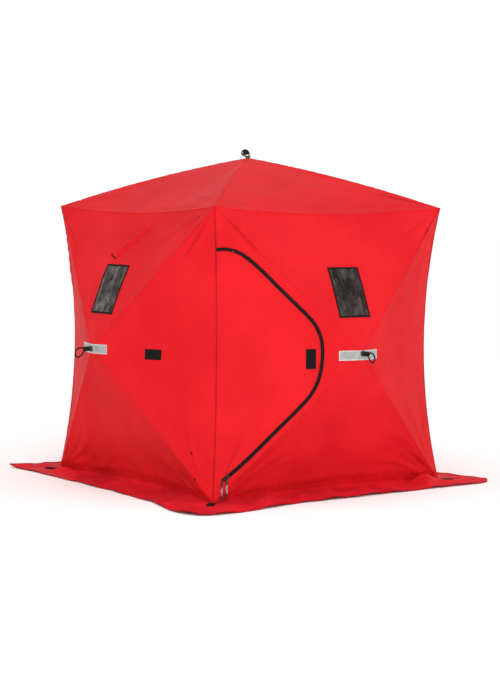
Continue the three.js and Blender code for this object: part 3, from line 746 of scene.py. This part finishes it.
# A loop's centreline: distance out from the fabric, and height above the hub's middle.
WALL_ROPE = [
    (-0.013, 0.005), (0.006, 0.005), (0.024, 0.005), (0.042, 0.005), (0.058, 0.007), (0.074, 0.006),
    (0.088, -0.001), (0.097, -0.014), (0.097, -0.029), (0.088, -0.041), (0.074, -0.042),
    (0.061, -0.032), (0.050, -0.019), (0.038, -0.009), (0.024, -0.005), (0.006, -0.005),
    (-0.013, -0.005),
]
# The roof's loop: distance along its flop, and height above the roof's peak.
ROOF_ROPE = [
    (-0.005, -0.013), (-0.005, 0.000), (-0.006, 0.012), (-0.006, 0.024), (-0.001, 0.036),
    (0.010, 0.043), (0.023, 0.042), (0.033, 0.033), (0.034, 0.021), (0.025, 0.013),
    (0.014, 0.009), (0.007, 0.001), (0.005, -0.013),
]
ROOF_FLOP = np.array([-0.807, 0.59, 0.0]) / math.hypot(0.807, 0.59)
KNOT_TURNS = 5
KNOT_RADIUS = 0.0088
KNOT_CORD = 0.0036
# A wall's knot lies round both strands near the fabric. The roof's fills its flopped loop.
WALL_KNOT_OUT = 0.0305
WALL_KNOT_LENGTH = 0.035
ROOF_KNOT = (0.013, 0.028)
ROOF_KNOT_LENGTH = 0.026


def frame_of_hub(name):
    """A hub's place on the fabric, its way out, and the other way in its loop's plane."""
    face = FACES[name]
    if name == "roof":
        return face["apex"], face["out"], ROOF_FLOP
    return face["apex"], face["out"], np.array([0, 0, 1.0])


def rope_points(name):
    """The loop's route, which the CAD's loop follows too."""
    place, out, other = frame_of_hub(name)
    if name == "roof":
        return np.array([place + other * side + out * height for side, height in ROOF_ROPE])
    return np.array([place + out * away + other * height for away, height in WALL_ROPE])


def knot(name, middle, along, length):
    """Turns of cord wound close together round a line of this length through the middle."""
    _, out, other = frame_of_hub(name)
    third = np.cross(out, other)
    second = np.cross(third, along)
    steps = KNOT_TURNS * 14
    share = np.linspace(0, 1, steps + 1)
    angle = 2 * math.pi * KNOT_TURNS * share
    radius = KNOT_RADIUS * (0.75 + 0.35 * np.sin(math.pi * share) ** 0.5)
    path = (
        middle
        + along * (length * (share - 0.5))[:, None]
        + second * (radius * np.cos(angle))[:, None]
        + third * (radius * np.sin(angle))[:, None]
    )
    return tube(f"knot_{name}", path, KNOT_CORD, braid, 7)


def stopper(name):
    """The round knob that the loop comes out of, close on the fabric."""
    place, out, other = frame_of_hub(name)
    third = np.cross(out, other)
    profile = [(0.0045, 0.0105), (0.011, 0.0110), (0.0152, 0.0080), (0.0160, 0.0045), (0.0150, 0.0010)]
    sides = 20
    points, polygons = [], []
    for radius, away in profile:
        for turn in range(sides):
            angle = 2 * math.pi * turn / sides
            spoke = other * math.cos(angle) + third * math.sin(angle)
            points.append(place + out * away + spoke * radius)
    for ring in range(len(profile) - 1):
        for turn in range(sides):
            nearby = (turn + 1) % sides
            first, second = ring * sides, (ring + 1) * sides
            polygons.append((first + turn, second + turn, second + nearby, first + nearby))
    return make_object(f"rope_stop_{name}", points, polygons, nylon)


def add_rope(name):
    """One hub's pull rope with its knot and its stopper."""
    path = catmull(rope_points(name), 72)
    data = bpy.data.curves.new(f"rope_{name}", "CURVE")
    data.dimensions = "3D"
    data.bevel_depth = ROPE_RADIUS
    data.bevel_resolution = 3
    data.use_fill_caps = True
    spline = data.splines.new("POLY")
    spline.points.add(len(path) - 1)
    for point, place in zip(spline.points, path):
        point.co = (*place, 1.0)
    data.materials.append(braid)
    rope = bpy.data.objects.new(f"rope_{name}", data)
    bpy.context.scene.collection.objects.link(rope)
    place, out, other = frame_of_hub(name)
    if name == "roof":
        wound = knot(name, place + other * ROOF_KNOT[0] + out * ROOF_KNOT[1], other, ROOF_KNOT_LENGTH)
    else:
        wound = knot(name, place + out * WALL_KNOT_OUT, out, WALL_KNOT_LENGTH)
    stop = stopper(name)
    for piece in (rope, wound, stop):
        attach(piece, f"hub_{name}")
    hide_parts(f"pull_rope_{name}")


for hub_name in FACES:
    add_rope(hub_name)

# ---- walls and roof ----

CELLS = 72


def snap(p, q, outline, reach, keep=None):
    """Moves grid points that lie near an outline onto it, so that a cut along it is clean."""
    distance = signed_distance(outline, p, q)
    step = 1e-4
    slope_p = (signed_distance(outline, p + step, q) - distance) / step
    slope_q = (signed_distance(outline, p, q + step) - distance) / step
    near = np.abs(distance) < reach
    if keep is not None:
        near &= ~keep
    return np.where(near, p - distance * slope_p, p), np.where(near, q - distance * slope_q, q)


def snap_corners(p, q, corners):
    """Moves the nearest grid point onto each corner."""
    for corner in corners:
        nearest = np.argmin((p - corner[0]) ** 2 + (q - corner[1]) ** 2)
        p.flat[nearest], q.flat[nearest] = corner
    return p, q


def wall_grid():
    """An even square grid of p and q over a whole face."""
    values = np.linspace(-1, 1, 2 * CELLS + 1)
    return np.meshgrid(values, values)


def split_ridges(polygons, p, q):
    """Keeps four-sided faces, turned so that those on a ridge are cut along it when drawn."""
    middle_p = p[polygons].mean(axis=1)
    middle_q = q[polygons].mean(axis=1)
    swap = (middle_p * middle_q) < 0
    turned_faces = np.roll(polygons, 1, axis=1)
    return np.where(swap[:, None], turned_faces, polygons)


def face_cloth(name):
    """One wall or the roof: its points, faces, the flap's faces, seam distances and the painted shade of its
    creases.
    """
    face = FACES[name]
    p, q = wall_grid()
    spacing = 1 / CELLS
    if name in ("front", "left"):
        p, q = snap(p, q, window_outline(), 0.5 * spacing)
        p, q = snap_corners(p, q, window_outline())
    if name == "front":
        p, q = snap(p, q, FLAP_SHARES, 0.5 * spacing, np.maximum(np.abs(p), np.abs(q)) > 0.999)
    points = face_points(face, p, q).reshape(-1, 3)
    flat_p, flat_q = p.ravel(), q.ravel()
    polygons = split_ridges(grid_faces(*p.shape), flat_p, flat_q)
    middle_p = flat_p[polygons].mean(axis=1)
    middle_q = flat_q[polygons].mean(axis=1)
    kept = np.ones(len(polygons), bool)
    flap = np.zeros(len(polygons), bool)
    if name in ("front", "left"):
        kept &= signed_distance(window_outline(), middle_p, middle_q) > 0
    if name == "front":
        flap = signed_distance(FLAP_SHARES, middle_p, middle_q) < 0
    seam = np.abs(np.abs(flat_p) - np.abs(flat_q)) * BASE_HALF / math.sqrt(2)
    return points, polygons[kept & ~flap], polygons[flap], seam, creases(face, flat_p, flat_q)


def used(points, polygons, *values):
    """Only the points that the faces use, with the faces and the values to match."""
    wanted, packed = np.unique(polygons, return_inverse=True)
    return (points[wanted], packed.reshape(polygons.shape), *(value[wanted] for value in values))


FACE_NODES = {
    "front": ("wall_front", "door_surround"), "right": ("wall_right",), "back": ("wall_back",),
    "left": ("wall_left",), "roof": ("roof_canopy",),
}
FACE_TITLES = {name: f"wall_{name}" for name in TURNS} | {"roof": "roof"}


def declare_cloth(obj):
    """Works out a width and a length for a stretched piece of fabric from its size and area; nothing uses them.
    Says that a stretched piece of fabric was cut to the size it has now.
    """
    corners = np.array([obj.matrix_world @ vert.co for vert in obj.data.vertices])
    area = sum(polygon.area for polygon in obj.data.polygons)
    spans = np.sort(np.ptp(corners, axis=0))
    width, length = float(spans[1]) * 1.02, float(spans[2]) * 1.02
    while area > width * length:
        width *= 1.03
        length *= 1.03
    while area < 0.31 * width * length:
        width *= 0.97
        length *= 0.97


def add_face(name):
    """The fabric of a wall or the roof, cut in bands between its corners and its hub."""
    face = FACES[name]
    points, polygons, flap, seam, crease_shade = face_cloth(name)
    part_points, part_polygons, part_seam, part_crease_shade = used(points, polygons, seam, crease_shade)
    # The crease values are how much painted shade each point gets in the creases.
    marks = {"seam": part_seam, "crease_shade": part_crease_shade}
    parts = band_pieces(FACE_TITLES[name], face, part_points, part_polygons, wall_cloth, marks)
    for band_name, part in parts.items():
        if band_name == "middle":
            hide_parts(*FACE_NODES[name])
        declare_cloth(part)
    if len(flap):
        # The flap gets the same painted shade in its creases.
        flap_points, flap_polygons, flap_crease_shade = used(points, flap, crease_shade)
        door = make_object(
            "door_flap_cloth", flap_points, flap_polygons, door_cloth, {"crease_shade": flap_crease_shade},
            normals=point_normals(flap_points, flap_polygons),
        )
        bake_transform(door)
        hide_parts("door_flap")
        declare_cloth(door)


for face_name in FACES:
    add_face(face_name)

# ---- seams along the corners, the eaves and the base ----

SEAM_RADIUS = 0.0032
EAVE_SEAM_RADIUS = 0.0022
SEAMS = (
    # The corner and base seams wear the darker seam cloth's painted shade; the eaves keep the plain red.
    (0, "corner", SEAM_RADIUS, shaded_seam_cloth),
    (1, "base", SEAM_RADIUS, shaded_seam_cloth),
    (3, "eave", EAVE_SEAM_RADIUS, door_cloth),
)


def edge_line(face, k, count=60):
    """Points along one of a face's four edges."""
    share = np.linspace(0, 1, count)
    first, last, bow = face["edges"][k]
    return (
        (1 - share)[:, None] * first
        + share[:, None] * last
        + (4 * share * (1 - share))[:, None] * bow
    )


for side_name in TURNS:
    for edge_index, title, seam_radius, cloth in SEAMS:
        line = edge_line(FACES[side_name], edge_index)
        along_seam = np.linspace(0, 1, len(line))
        uneven = 1 + 0.12 * waves(SEEDS[side_name] + edge_index, along_seam, 0 * along_seam, 14.0)
        seam_piece = tube(f"seam_{title}_{side_name}", line, seam_radius * uneven, cloth, 8)
        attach(seam_piece, "shelter")

# ---- windows ----

PANE_GROW = 0.004
BINDING = 0.009
PANE_COLUMNS = 28
PANE_ROWS = 36


def rectangle(face, low_across, high_across, low, high, columns, rows):
    """A grid of p and q over a rectangle given as distance across and height."""
    across, height = np.meshgrid(np.linspace(low_across, high_across, columns), np.linspace(low, high, rows))
    return shares_of(across, height)


def add_window(name, material):
    """A crinkled vinyl pane in its opening, with a narrow black binding round it."""
    face = FACES[name]
    half = WINDOW_HALF + PANE_GROW
    p, q = rectangle(face, -half, half, WINDOW_LOW - PANE_GROW, WINDOW_HIGH + PANE_GROW, PANE_COLUMNS, PANE_ROWS)
    across = np.linspace(-1, 1, PANE_COLUMNS)[None, :]
    up = np.linspace(-1, 1, PANE_ROWS)[:, None]
    held = smooth((1 - np.abs(across)) / 0.25) * smooth((1 - np.abs(up)) / 0.2)
    wander = waves(SEEDS[name] + 70, p, q, 7.0)
    crinkle = 0.0042 * ridged(24 * p + 2.6 * wander) + 0.0028 * waves(SEEDS[name] + 71, p, q, 11.0)
    base = face_points(face, p, q, 0.0012)
    points = (base + outwards(base) * (crinkle * held)[..., None]).reshape(-1, 3)
    panes = band_pieces(f"pane_{name}", face, points, grid_faces(*p.shape), material)
    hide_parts(f"window_{name}")
    for part in panes.values():
        declare_cloth(part)
    loop_steps = 24
    corners = [(-half, WINDOW_LOW), (half, WINDOW_LOW), (half, WINDOW_HIGH), (-half, WINDOW_HIGH)]
    inner, outer = [], []
    for k, (x0, z0) in enumerate(corners):
        x1, z1 = corners[(k + 1) % 4]
        for share in np.linspace(0, 1, loop_steps, endpoint=False):
            inner.append((x0 + (x1 - x0) * share, z0 + (z1 - z0) * share))
    inner = np.array(inner)
    middle = inner.mean(axis=0)
    rings = []
    for grow, lift in ((-0.001, 0.0022), (0.35 * BINDING, 0.0040), (0.75 * BINDING, 0.0038), (BINDING, 0.0008)):
        shift = np.sign(inner - middle) * grow
        side_x = np.abs(np.abs(inner[:, 0] - middle[0]) - half) < 1e-6
        side_z = np.abs(np.abs(inner[:, 1] - middle[1]) - (WINDOW_HIGH - WINDOW_LOW) / 2) < 1e-6
        ring = inner + shift * np.stack([side_x, side_z], axis=1)
        ring_p, ring_q = shares_of(ring[:, 0], ring[:, 1])
        rings.append(face_points(face, ring_p, ring_q, lift))
    points = np.array(rings)
    points = np.concatenate([points, points[:, :1]], axis=1)
    band_pieces(f"binding_{name}", face, points.reshape(-1, 3), grid_faces(*points.shape[:2]), webbing)


add_window("front", front_vinyl)
add_window("left", left_vinyl)

# ---- grey strips over two hubs ----

STRIPS = {"front": (-0.126, 0.126, 0.717, 0.768), "left": (-0.178, 0.105, 0.727, 0.777)}


def add_strip(name, low_across, high_across, low, high):
    """A wrinkled reflective ribbon sewn over a wall's hub."""
    face = FACES[name]
    columns, rows = 64, 14
    p, q = rectangle(face, low_across, high_across, low, high, columns, rows)
    across = np.linspace(0, high_across - low_across, columns)[None, :] + 0 * p
    up = np.linspace(0, high - low, rows)[:, None] + 0 * p
    border = np.minimum(np.minimum(across, across[:, ::-1]), np.minimum(up, up[::-1]))
    free = smooth(border / 0.012)
    ruffle = 0.0020 * ridged(across * 190 + 1.4 * waves(SEEDS[name] + 80, p, q, 14.0))
    ruffle += 0.0012 * waves(SEEDS[name] + 81, p, q, 22.0)
    lift = 0.0014 + 0.0006 + ruffle * (0.35 + 0.65 * free)
    points = face_points(face, p, q, np.maximum(lift, 0.0006)).reshape(-1, 3)
    band_pieces(
        f"strip_{name}", face, points, grid_faces(*p.shape), ribbon_grey,
        {"border": border.ravel()},
    )


for strip_name, extent in STRIPS.items():
    add_strip(strip_name, *extent)

# ---- hook-and-loop patches ----


def patch_points(face, low_across, high_across, low, high, columns=14, rows=20):
    """A slightly domed patch over a rectangle of the fabric."""
    p, q = rectangle(face, low_across, high_across, low, high, columns, rows)
    across = np.linspace(-1, 1, columns)[None, :] + 0 * p
    up = np.linspace(-1, 1, rows)[:, None] + 0 * p
    dome = smooth((1 - np.abs(across)) / 0.3) * smooth((1 - np.abs(up)) / 0.2)
    lift = 0.0006 + 0.0030 * dome + 0.0005 * waves(91, p, q, 25.0) * dome
    return face_points(face, p, q, lift).reshape(-1, 3), grid_faces(*p.shape)


door_patch_points, door_patch_faces = patch_points(FACES["front"], -0.286, -0.237, 0.676, 0.779)
door_patch = make_object("hook_patch_door", door_patch_points, door_patch_faces, hook)
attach(door_patch, "door")
left_patch_points, left_patch_faces = patch_points(FACES["left"], 0.322, 0.415, 0.711, 0.766, 20, 14)
band_pieces("hook_patch_wall", FACES["left"], left_patch_points, left_patch_faces, hook)

# ---- vent hood on the left wall ----

VENT_CORNERS = np.array([(-0.108, 1.250), (-0.050, 1.226), (0.186, 1.400), (0.132, 1.434)])
VENT_RISE = 0.018
VENT_COLUMNS = 48
VENT_ROWS = 22
MOUTH_COLUMNS = 10
MOUTH_ROWS = 8


def vent_places(along, over):
    """The left wall's p and q at shares along the hood and over it."""
    along, over = along[..., None], over[..., None]
    first = VENT_CORNERS[0] * (1 - over) + VENT_CORNERS[1] * over
    last = VENT_CORNERS[3] * (1 - over) + VENT_CORNERS[2] * over
    spots = first * (1 - along) + last * along
    return shares_of(spots[..., 0], spots[..., 1])


def add_vent():
    """A crumpled hood sewn on three sides, with a black sheet of painted shade in the opening along its lower end.
    """
    face = FACES["left"]
    along, over = np.meshgrid(np.linspace(0, 1, VENT_COLUMNS), np.linspace(0, 1, VENT_ROWS))
    p, q = vent_places(along, over)
    across = smooth(np.minimum(over, 1 - over) / 0.32)
    ends = smooth((1 - along) / 0.2) * (0.25 + 0.75 * smooth(along / 0.12))
    crumple = 0.75 + 0.30 * waves(97, p, q, 9.0) + 0.55 * ridged(11 * along + 2.5 * over + waves(98, p, q, 5.0), 1.4)
    lift = 0.0008 + VENT_RISE * across * ends * np.maximum(crumple, 0.1)
    points = face_points(face, p, q, lift).reshape(-1, 3)
    parts = band_pieces("vent_hood_cloth", face, points, grid_faces(*p.shape), door_cloth)
    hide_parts("vent_hood")
    # Painted shade: a black sheet on the wall where the hood's lower end opens.
    along, over = np.meshgrid(np.linspace(-0.03, 0.12, MOUTH_COLUMNS), np.linspace(0.06, 0.94, MOUTH_ROWS))
    p, q = vent_places(along, over)
    points = face_points(face, p, q, 0.0018).reshape(-1, 3)
    band_pieces(
        "vent_mouth_shade", face, points, grid_faces(*p.shape), webbing,
    )


add_vent()

# ---- zip teeth ----

TOOTH_PITCH = 0.0052
TOOTH_SIZE = (0.0034, 0.0026, 0.0016)


def add_teeth():
    """Every other tooth sits on the door's tape, and the others on the fixed one."""
    face = FACES["front"]
    line = catmull(ZIP_LINE, 900)
    p, q = shares_of(line[:, 0], line[:, 1])
    path = face_points(face, p, q, TAPE_TOP)
    gone = np.concatenate([[0], np.cumsum(np.linalg.norm(np.diff(path, axis=0), axis=1))])
    places = np.arange(0.008, gone[-1] - 0.03, TOOTH_PITCH)
    centres = np.stack([np.interp(places, gone, path[:, k]) for k in range(3)], axis=1)
    beside = np.stack([np.interp(places, gone, line[:, k]) for k in range(2)], axis=1)
    ways = np.gradient(centres, axis=0)
    ways /= np.linalg.norm(ways, axis=1, keepdims=True)
    rows = {"door": ([], []), "door_panel": ([], [])}
    corners = ((-1, -1), (1, -1), (1, 1), (-1, 1))
    for k, centre in enumerate(centres):
        up = outwards(centre)
        side = np.cross(ways[k], up)
        on_flap = beside[k][0] > FOLD_ACROSS + 0.01 and beside[k][1] > FLAP_LOW + 0.01
        sign = 1 if k % 2 else -1
        points, polygons = rows["door" if on_flap and k % 2 else "door_panel"]
        start = len(points)
        for height, shrink in ((0.0, 1.0), (TOOTH_SIZE[2], 0.7)):
            for x, y in corners:
                offset = side * (sign * 0.0009 + x * TOOTH_SIZE[0] / 2 * shrink)
                points.append(centre + up * height + offset + ways[k] * (y * TOOTH_SIZE[1] / 2 * shrink))
        for a in range(4):
            b = (a + 1) % 4
            polygons.append((start + a, start + b, start + 4 + b, start + 4 + a))
        polygons.append((start + 4, start + 5, start + 6, start + 7))
        polygons.append((start + 3, start + 2, start + 1, start))
    for body, (points, polygons) in rows.items():
        teeth = make_object(f"zip_teeth_{body}", points, polygons, zip_plastic)
        teeth.data.polygons.foreach_set("use_smooth", [False] * len(teeth.data.polygons))
        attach(teeth, body)


add_teeth()

TAPE_WIDTH = 0.0085
TAPE_LIFT = 0.002


def add_zip_ends():
    """The inner half of the tape, where the zip runs on past the door's own tape towards the corner."""
    face = FACES["front"]
    line = catmull(ZIP_LINE, 900)
    way = np.gradient(line, axis=0)
    way /= np.linalg.norm(way, axis=1, keepdims=True)
    inwards = np.stack([way[:, 1], -way[:, 0]], axis=1)
    door_tape_low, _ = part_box("zipper_tape_door")
    beyond = {
        "upper": (line[:, 1] > HUB_Z) & (line[:, 0] < door_tape_low.x),
        "lower": (line[:, 1] < HUB_Z) & (line[:, 1] < door_tape_low.z),
    }
    for which, wanted in beyond.items():
        rings = []
        for offset, lift in ((0.0, TAPE_LIFT), (0.0, TAPE_TOP), (TAPE_WIDTH, TAPE_TOP), (TAPE_WIDTH, TAPE_LIFT)):
            ring = line[wanted] + inwards[wanted] * offset
            p, q = shares_of(ring[:, 0], ring[:, 1])
            rings.append(face_points(face, p, q, lift))
        points = np.array(rings)
        end_tape = make_object(f"zip_end_{which}", points.reshape(-1, 3), grid_faces(*points.shape[:2]), zip_tape)
        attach(end_tape, "door_panel")


add_zip_ends()

# ---- snow skirt ----

SKIRT_EDGE = [
    (-1.064, -0.850), (-1.009, -1.031), (-0.807, -1.059), (-0.400, -0.997), (0.000, -0.988),
    (0.500, -0.982), (0.953, -0.956), (0.938, -0.500), (0.940, 0.000), (0.950, 0.500),
    (1.064, 0.850), (1.009, 1.031), (0.807, 1.059), (0.400, 0.997), (0.000, 0.988),
    (-0.500, 0.985), (-0.890, 0.998), (-0.962, 1.012), (-0.946, 0.940), (-0.942, 0.500),
    (-0.952, 0.000), (-0.982, -0.500),
]
TAB_FLAT_REACH = 0.055
TAB_FADE = 0.080
SKIRT_STATIONS = 420
SKIRT_ROWS = 18


def height_under_tabs(x, y, height):
    """Presses the skirt flat round each anchor tab, which lies on it."""
    for node_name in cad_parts:
        if node_name.startswith("anchor_tab_"):
            low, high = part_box(node_name)
            away = np.hypot(x - (low.x + high.x) / 2, y - (low.y + high.y) / 2)
            free = smooth((away - TAB_FLAT_REACH) / TAB_FADE)
            height = np.minimum(height, 0.0025 + (height - 0.0025) * free)
    return height


def add_skirt():
    """A wavy flap of the wall's fabric that lies on the ground all round."""
    seam_line = np.vstack([edge_line(FACES[name], 1, 401)[:-1] for name in ("front", "right", "back", "left")])
    edge = catmull(SKIRT_EDGE, 1600, closed=True)
    edge_angle = np.unwrap(np.arctan2(edge[:, 1], edge[:, 0]))
    seam_angle = np.unwrap(np.arctan2(seam_line[:, 1], seam_line[:, 0]))
    stations = np.linspace(seam_angle[0], seam_angle[0] + 2 * math.pi, SKIRT_STATIONS, endpoint=False)

    def around(angles, values):
        doubled_angles = np.concatenate([angles - 2 * math.pi, angles, angles + 2 * math.pi])
        order = np.argsort(doubled_angles)
        doubled = np.concatenate([values, values, values])
        return np.stack([np.interp(stations, doubled_angles[order], doubled[order, k]) for k in range(2)], axis=1)

    inner = around(seam_angle, seam_line[:, :2])
    outer = around(edge_angle, edge[:, :2])
    seam_height = np.interp(stations, seam_angle, seam_line[:, 2], period=2 * math.pi)
    share = np.linspace(0, 1, SKIRT_ROWS)[:, None]
    plan = inner[None] * (1 - share[..., None]) + outer[None] * share[..., None]
    x, y = plan[..., 0], plan[..., 1]
    around_way = np.cos(stations)[None, :] + 0 * x, np.sin(stations)[None, :] + 0 * x
    radial = ridged(
        stations[None, :] * 21 + 1.8 * waves(31, *around_way, 1.1) + 0.8 * share, 1.2
    )
    lumps = 0.016 * np.maximum(waves(33, x, y, 4.2), -0.2) + 0.010 * np.maximum(waves(34, x, y, 9.0), -0.3)
    across_window = smooth(share / 0.25) * (1 - 0.55 * smooth((share - 0.72) / 0.28))
    drop = seam_height[None, :] * (1 - smooth(share / 0.16))
    height = 0.0025 + drop + across_window * (np.maximum(lumps, 0) + 0.013 * np.maximum(radial, 0))
    height = height_under_tabs(x, y, height)
    flutter = 1 + 0.0045 * waves(36, *around_way, 6.0) * smooth((share - 0.6) / 0.4)
    points = np.stack([x * flutter, y * flutter, height], axis=-1)
    points = np.concatenate([points, points[:, :1]], axis=1)
    rows, columns = points.shape[:2]
    polygons = grid_faces(rows, columns)
    index = np.arange(rows * columns).reshape(rows, columns)
    index[:, -1] = index[:, 0]
    polygons = index.ravel()[polygons]
    kept_points, kept_polygons = used(points.reshape(-1, 3), polygons)
    skirt = make_object("skirt_cloth", kept_points, kept_polygons[:, ::-1], skirt_cloth)
    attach(skirt, "shelter")
    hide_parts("skirt")
    hem_line = points[-1, :-1]
    # The hem wears the darker seam cloth's painted shade.
    hem = tube("skirt_hem", hem_line + np.array([0, 0, 0.0012]), 0.0032, shaded_seam_cloth, 6, closed=True)
    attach(hem, "shelter")


add_skirt()

# ---- materials of the CAD pieces that stay ----

CAD_FINISHES = [
    ("hub_", nylon), ("pole_", rod), ("pocket_", webbing), ("anchor_tab_", webbing),
    ("zipper_tape_", zip_tape), ("zip_slider_", zip_plastic),
]
for node_name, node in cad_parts.items():
    for start_of_name, finish in CAD_FINISHES:
        if node_name.startswith(start_of_name):
            node.data.materials.clear()
            node.data.materials.append(finish)
for which in ("upper", "lower"):
    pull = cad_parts[f"zip_pull_{which}"]
    pull.data.materials.clear()
    pull.data.materials.append(pull_material(f"zip_pull_{which}", f"zip_pull_{which}"))

# ---- studio ----


def add_floor():
    """A plain pale floor, far larger than the view."""
    size = 60.0
    corners = [(-size, -size, 0), (size, -size, 0), (size, size, 0), (-size, size, 0)]
    shader = Shader("studio_floor")
    shader.set(Base_Color=(0.96, 0.96, 0.96, 1), Roughness=1.0, Specular_IOR_Level=0.0)
    floor = make_object("studio_floor", corners, [(0, 1, 2, 3)], shader.material)
    floor.location.z = -0.0015


def add_light(name, place, target, size, power):
    """A soft square lamp that faces a point."""
    data = bpy.data.lights.new(name, "AREA")
    data.size = size
    data.energy = power
    lamp = bpy.data.objects.new(name, data)
    bpy.context.scene.collection.objects.link(lamp)
    lamp.location = place
    lamp.rotation_euler = (Vector(target) - Vector(place)).to_track_quat("-Z", "Y").to_euler()


def add_world():
    """An even white surround."""
    world = bpy.data.worlds.new("studio")
    world.use_nodes = True
    background = world.node_tree.nodes["Background"]
    background.inputs["Color"].default_value = (1, 1, 1, 1)
    background.inputs["Strength"].default_value = 1.06
    bpy.context.scene.world = world


MIDDLE = (0, 0, 0.8)
bpy.context.scene.view_settings.view_transform = "Standard"
add_floor()
add_world()
add_light("key", (-3.8, -6.8, 2.9), MIDDLE, 3.0, 235)
add_light("fill", (6.5, -4.0, 3.5), MIDDLE, 5.0, 20)
